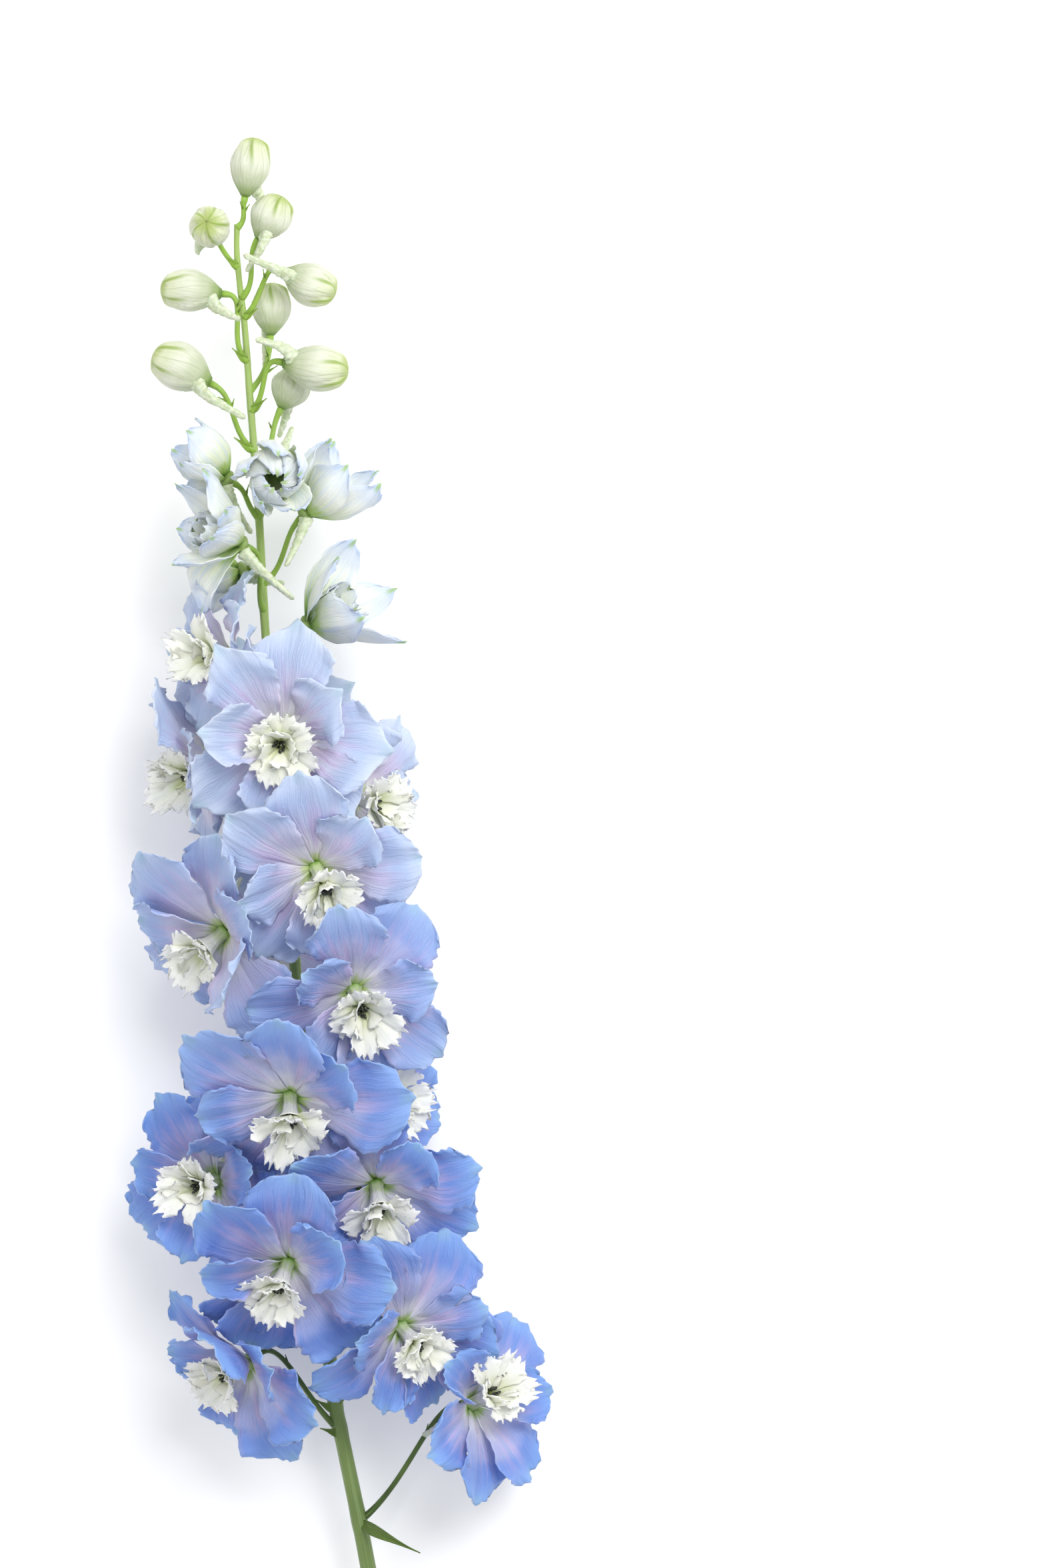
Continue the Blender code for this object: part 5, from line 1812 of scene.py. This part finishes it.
@dataclass
class YoungFlower(Flower):
    """A flower that still cups itself: broad white-green sepals round a green heart."""

    heart_petals: int = 7

    def dress(self, nodes: dict) -> None:
        """Build all pieces of the flower.

        Args:
            nodes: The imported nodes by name.
        """
        self.sepals(FrameFit(nodes[self.node]), YOUNG_MARGIN, YOUNG_GRID, self.finishes.young)
        self.receptacle()
        self.spur()
        self.heart()

    def heart(self) -> None:
        """Small folded petals inside the cup."""
        form = GLOBE_HEART if self.bloom.habit is Habit.GLOBE else CUP_HEART
        size = self.bloom.length
        draw = random.Random(self.bloom.name + "_heart")
        clay = Clay()
        for k in range(self.heart_petals):
            blade = Blade(
                length=form.length * size * draw.uniform(0.85, 1.08), half_width=form.half_width * size,
                root_rise=form.root_rise, tip_rise=form.tip_rise + draw.uniform(-16.0, 12.0),
                turn=360.0 * k / self.heart_petals + draw.uniform(-12.0, 12.0), tilt=16.0, cup=0.5, wave=0.3,
                phase=0.0, floor=0.0, rows=SEPAL_ROWS, root_radius=form.root_radius * size,
                root_height=HUB_FRONT, outline=form.outline,
            )
            petal = Petal(blade, form.margin, self.place, f"{self.bloom.name}h{k}")
            clay.sheet(petal.point, HEART_GRID, 0.0, draw.random())
        clay.piece(self.bloom.name + "_heart", self.finishes.heart, (), SHEET_THICK)


@dataclass
class BudPiece:
    """A closed bud with its overlapping sepals, and its spur.

    Attributes:
        bud: Its layout.
        finishes: The spike's materials.
        skin: How far its form stays inside the part's, in mm.
        step: How far a sepal's free edge stands over the next, in mm.
        swell: How far the middle of a sepal swells, in mm.
        knot: How far the sepals' ends part and fold near the tip, in mm.
        wobble: Height of its soft bumps, in mm.
        spur_cuts: How many stretches its spur is cut into.
        spur_fullness: Radii of the spur at its root and tip, against the part's.
    """

    bud: Bud
    finishes: Finishes
    skin: float = 0.30
    step: float = 0.6
    swell: float = 0.22
    knot: float = 1.5
    wobble: float = 0.18
    spur_cuts: int = 36
    spur_fullness: tuple = (1.7, 1.3)

    def dress(self) -> None:
        """Build the bud's pieces."""
        base = Vector(self.bud.base)
        tip = Vector(self.bud.tip)
        columns, rows = BUD_GRID
        shares = [0.5 - 0.5 * math.cos(math.pi * i / rows) for i in range(rows + 1)]
        clay = Clay()
        clay.limb([base.lerp(tip, s) for s in shares], self.radius(shares), columns, 0.0, self.bud.thick)
        clay.closed()
        clay.piece(self.bud.name + "_sepals", self.finishes.bud, (self.bud.name,))
        self.spur(base, tip)

    def radius(self, shares: Sequence[float]) -> Radius:
        """Form of the bud: a smooth egg, with the free edge of each sepal standing over the next.

        Args:
            shares: How far along the bud each ring lies.

        Returns:
            The radius at a ring's share of all rings and an angle.
        """
        half = 0.5 * self.bud.thick
        last = len(shares) - 1

        def reach(ring: float, angle: float) -> float:
            """Work out how far the bud stands out.

            Args:
                ring: A ring's share of all rings.
                angle: Angle round the bud.

            Returns:
                The radius in mm.
            """
            s = shares[round(ring * last)]
            egg = math.sin(math.pi * (0.05 + 0.95 * s ** 1.22)) ** (0.75 - 0.32 * s)
            sector = (angle / (2.0 * math.pi) + 0.5 + BUD_TWIST * s) * BUD_SEPALS
            lobe = 0.7 + 0.6 * noise.noise(Vector((3.7 * math.floor(sector), 1.3 * half, 0.5)))
            sector -= math.floor(sector)
            arch = math.sin(math.pi * sector)
            fold = self.step * lobe * sector ** 3 + self.swell * arch
            fold += self.knot * lobe * (arch - 0.45) * math.exp(-((s - 0.9) / 0.1) ** 2)
            fold *= min(1.0, 5.0 * s) * min(1.0, 14.0 * (1.0 - s))
            bumps = noise.noise(Vector((2.0 * math.cos(angle), 2.0 * math.sin(angle), 5.0 * s + half)))
            return max(0.0, (half - self.skin + self.wobble * bumps) * egg + fold)

        return reach

    def spur(self, base: Vector, tip: Vector) -> None:
        """Build the spur, on the line that the part has.

        Args:
            base: Where the bud starts.
            tip: Where it ends.
        """
        along = (tip - base).normalized()
        end = Vector(self.bud.spur_end)
        aside = end - base
        aside = (aside - along * aside.dot(along)).normalized()
        root = base + along * BUD_SPUR_ROOT + aside * (BUD_SPUR_ASIDE[0] * self.bud.thick)
        knee = base + along * 0.5 + aside * (BUD_SPUR_ASIDE[1] * self.bud.thick)
        thick, thin = [share * radius for share, radius in zip(self.spur_fullness, BUD_SPUR_RADII)]
        clay = Clay()
        clay.limb(bezier(root, knee, knee.lerp(end, 0.5), end, self.spur_cuts),
                  crinkled(thick, thin, self.bud.thick + base.x), SPUR_SIDES, 0.0, 0.0)
        clay.closed()
        clay.piece(self.bud.name + "_spur", self.finishes.spur)


@dataclass
class Stalks:
    """The main stem with its pedicels, bracts and bracteoles.

    Attributes:
        finishes: The spike's materials.
        stem_cuts: How many stretches the stem is cut into.
        stem_sides: How many sides it has.
        swell: How much thicker it is where a pedicel leaves it.
        swell_length: How far that reaches along it, in mm.
        pedicel_radius: Radius of a pedicel, in mm.
        pedicel_form: Its radius against that, along it.
        pedicel_neck: Length of its straight end, in mm.
        pedicel_cuts: How many stretches it is cut into.
        pedicel_sides: How many sides it has.
        bracteole_places: Where its two bracteoles grow, as shares of it.
        bracteole_lengths: Shortest and longest bracteole, in mm.
        bracteole_half_width: Half a bracteole's width, in mm.
        small_leaf: Leaves below this length get the coarse grid, in mm.
    """

    finishes: Finishes
    stem_cuts: int = 190
    stem_sides: int = 28
    swell: float = 0.09
    swell_length: float = 2.4
    pedicel_radius: float = 0.85
    pedicel_form: tuple = ((0.0, 1.45), (0.10, 1.15), (0.22, 0.95), (0.75, 0.9), (0.93, 1.05), (1.0, 1.35))
    pedicel_neck: float = 1.5
    pedicel_cuts: int = 30
    pedicel_sides: int = 12
    bracteole_places: tuple = (0.62, 0.72)
    bracteole_lengths: tuple = (2.5, 5.0)
    bracteole_half_width: float = 0.35
    small_leaf: float = 6.5

    def dress(self) -> None:
        """Build the stem's pieces."""
        self.axis()
        clay = Clay()
        leaves = Clay()
        for bloom in BLOOMS:
            forward = Vector(bloom.facing).normalized()
            foot = Vector(bloom.hub) - forward * (HUB_BACK + SEAT_GAP)
            self.pedicel(clay, leaves, bloom.name, bloom.joint_y, foot, forward)
        for bud in BUDS:
            along = (Vector(bud.tip) - Vector(bud.base)).normalized()
            self.pedicel(clay, leaves, bud.name, bud.joint_y, Vector(bud.base) - along * SEAT_GAP, along)
        clay.closed()
        clay.piece("pedicels", self.finishes.stalk)
        for place, direction, length in BRACTS:
            half_width = BRACT_HALF_WIDTH * (1.0 + length / BRACT_LONGEST)
            self.leaf(leaves, stem_at(place[1]), Vector(direction), length, half_width, stem_share(place[1]))
        leaves.piece("bracts", self.finishes.stalk, (), SHEET_THICK)

    def axis(self) -> None:
        """Build the main stem, ribbed and a little thicker where pedicels leave it."""
        joints = [bloom.joint_y for bloom in BLOOMS] + [bud.joint_y for bud in BUDS]
        line = smooth_line(STEM_POINTS, self.stem_cuts)

        def radius(share: float, angle: float) -> float:
            """Work out how thick the stem is.

            Args:
                share: Share of the stem from its cut end.
                angle: Angle round it.

            Returns:
                The radius in mm.
            """
            y = line[round(share * self.stem_cuts)].y
            size = 0.5 * (STEM_THICK_CUT + (STEM_THICK_TIP - STEM_THICK_CUT) * stem_share(y))
            near = sum(math.exp(-((y - joint - 1.0) / self.swell_length) ** 2) for joint in joints)
            ribs = 0.025 * math.cos(5.0 * angle + 0.012 * y) + 0.012 * math.cos(11.0 * angle)
            return size * (0.975 + ribs + self.swell * min(1.0, near))

        clay = Clay()
        clay.limb(line, radius, self.stem_sides, 0.5, 0.0, Vector((0.0, 0.0, 1.0)))
        tone = clay.bm.verts.layers.float["tone"]
        for vert in clay.bm.verts:
            vert[tone] = stem_share(vert.co.y / MM)
            vert.co.z = max(vert.co.z, 0.0)
        clay.closed()
        clay.piece("main_stem", self.finishes.stem, ("stem",))

    def pedicel(self, clay: Clay, leaves: Clay, name: str, joint_y: float, foot: Vector,
                arrive: Vector) -> None:
        """Add a flower's stalk and its two bracteoles.

        Args:
            clay: Mesh of the stalks.
            leaves: Mesh of the bracts and bracteoles.
            name: What it carries, for its draws.
            joint_y: Height at which it leaves the stem.
            foot: Where it meets the flower.
            arrive: Direction in which it meets it.
        """
        start = stem_at(joint_y)
        span = (foot - start).length
        outward = foot - start
        outward.y = 0.0
        outward = outward.normalized() if outward.length > 0.5 else Vector((0.0, 0.0, 1.0))
        leave = (outward * 0.8 + Vector((0.0, 0.6, 0.0))).normalized()
        neck = foot - arrive * self.pedicel_neck
        line = bezier(start, start + leave * (0.4 * span), neck - arrive * (0.3 * span), neck,
                      self.pedicel_cuts)
        line.append(foot)

        def radius(share: float, angle: float) -> float:
            """Radius at a share of the pedicel and an angle."""
            form = interpolate(self.pedicel_form, share)
            return self.pedicel_radius * form * (1.0 + 0.05 * math.cos(3.0 * angle))

        tone = 1.3 * stem_share(joint_y) - 0.2
        clay.limb(line, radius, self.pedicel_sides, tone, 0.0)
        draw = random.Random(name + "_bracteoles")
        for share in self.bracteole_places:
            k = int(share * self.pedicel_cuts)
            along = (line[k + 1] - line[k]).normalized()
            aside = along.orthogonal()
            aside.rotate(Matrix.Rotation(draw.uniform(0.0, 6.28), 3, along))
            way = along + aside * draw.uniform(0.5, 1.2)
            length = draw.uniform(*self.bracteole_lengths)
            self.leaf(leaves, line[k], way, length, self.bracteole_half_width, tone)

    def leaf(self, leaves: Clay, root: Vector, way: Vector, length: float, half_width: float,
             tone: float) -> None:
        """Add a narrow leaf.

        Args:
            leaves: Mesh of the bracts and bracteoles.
            root: Where it grows from.
            way: Direction in which it points.
            length: Its length in mm.
            half_width: Half its width in mm.
            tone: Mark for the finish.
        """
        up = way.normalized()
        forward = (Vector((0.0, 0.0, 1.0)) - up * up.z).normalized()
        place = Place(root, up, up.cross(forward), forward)
        blade = Blade(
            length=length, half_width=half_width, root_rise=BRACT_RISES[0], tip_rise=BRACT_RISES[1], turn=0.0,
            tilt=0.0, cup=0.2, wave=0.0, phase=0.0, floor=0.2, rows=SEPAL_ROWS_FEW, root_radius=0.0,
            root_height=0.0, outline=lance_width,
        )
        grid = BRACT_GRID if length > self.small_leaf else BRACTEOLE_GRID
        leaves.sheet(Petal(blade, BRACT_MARGIN, place, f"leaf{length:.2f}").point, grid, tone, 0.5)


@dataclass(frozen=True)
class Lamp:
    """A square soft light that is aimed at the spike, in metres and watts."""

    name: str
    place: tuple
    size: float
    power: float

    def build(self) -> None:
        """Set up the light."""
        data = bpy.data.lights.new(self.name, "AREA")
        data.size = self.size
        data.energy = self.power
        item = bpy.data.objects.new(self.name, data)
        item.location = self.place
        item.rotation_euler = (-Vector(self.place)).to_track_quat("-Z", "Y").to_euler()
        bpy.context.scene.collection.objects.link(item)


@dataclass(frozen=True)
class Studio:
    """Pale floor, soft light and the camera that looks straight down.

    Attributes:
        lamps: The soft lights.
        camera_place: Where the camera stands, in mm.
        focus_height: Height above the surface at which the framing holds, in mm.
        framed_height: What the frame takes in along the spike there, in mm.
        sensor: Width of the camera's sensor, in mm.
        near: From what distance the camera sees, in metres.
        floor_side: Length of a side of the floor, in metres.
        floor_drop: How far the floor lies below the part, in metres.
        floor_colour: Its colour.
        floor_shade: The shader's values for its faint clouds.
        floor_cloud: How strongly the clouds show.
        floor_glow: How much light the floor gives.
        sky_colour: The shader's values for the light from all sides.
        sky_strength: How bright that is.
    """

    lamps: tuple = (Lamp("key", (0.55, 0.75, 1.30), 0.9, 19.0), Lamp("fill", (-0.95, -0.35, 1.2), 1.3, 4.0))
    camera_place: tuple = (56.8, 66.1, 1840.0)
    focus_height: float = 40.0
    framed_height: float = 470.4
    sensor: float = 36.0
    near: float = 0.05
    floor_side: float = 8.0
    floor_drop: float = 0.0003
    floor_colour: Colour = (246, 246, 247)
    floor_shade: tuple = (0.8, 0.8, 0.82, 1.0)
    floor_cloud: float = 0.06
    floor_glow: float = 0.16
    sky_colour: tuple = (0.97, 0.98, 1.0, 1.0)
    sky_strength: float = 0.64

    def build(self) -> None:
        """Set up the whole studio."""
        self.floor()
        for lamp in self.lamps:
            lamp.build()
        self.sky()
        self.camera()

    def floor(self) -> None:
        """A large plain sheet under the spike."""
        bm = bmesh.new()
        bmesh.ops.create_grid(bm, x_segments=1, y_segments=1, size=0.5 * self.floor_side)
        mesh = bpy.data.meshes.new("floor")
        bm.to_mesh(mesh)
        bm.free()
        g = Graph("floor_paper")
        clouds = g.times(g.specks(6.0), self.floor_cloud)
        g.set(Base_Color=g.mix(clouds, linear(self.floor_colour), self.floor_shade), Roughness=0.9,
              Specular_IOR_Level=0.1, Emission_Color=(1.0, 1.0, 1.0, 1.0), Emission_Strength=self.floor_glow)
        mesh.materials.append(g.material)
        item = bpy.data.objects.new("floor", mesh)
        item.location.z = -self.floor_drop
        bpy.context.scene.collection.objects.link(item)

    def sky(self) -> None:
        """Even white light from all sides."""
        world = bpy.data.worlds.new("studio")
        world.use_nodes = True
        back = world.node_tree.nodes["Background"]
        back.inputs["Color"].default_value = self.sky_colour
        back.inputs["Strength"].default_value = self.sky_strength
        bpy.context.scene.world = world
        bpy.context.scene.view_settings.view_transform = "Standard"

    def camera(self) -> None:
        """The camera of the photograph: above the spike, framing it at the left."""
        data = bpy.data.cameras.new("camera")
        data.sensor_width = self.sensor
        data.lens = self.sensor * (self.camera_place[2] - self.focus_height) / self.framed_height
        data.clip_start = self.near
        item = bpy.data.objects.new("camera", data)
        item.location = Vector(self.camera_place) * MM
        bpy.context.scene.collection.objects.link(item)
        bpy.context.scene.camera = item


def corners(box: tuple[Vector, Vector]) -> list[list[float]]:
    """A box's two corners as plain lists."""
    return [list(corner) for corner in box]


def main() -> None:
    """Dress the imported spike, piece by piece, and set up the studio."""
    logging.basicConfig(level=logging.INFO, format="%(name)s: %(message)s", stream=sys.stdout)
    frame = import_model()
    finishes = Finishes()
    Stalks(finishes).dress()
    for bud in BUDS:
        BudPiece(bud, finishes).dress()
    for bloom in BLOOMS:
        flower = Floret(bloom, finishes) if bloom.bee else YoungFlower(bloom, finishes)
        flower.dress(frame["nodes"])
    Studio().build()


if __name__ == "__main__":
    main()
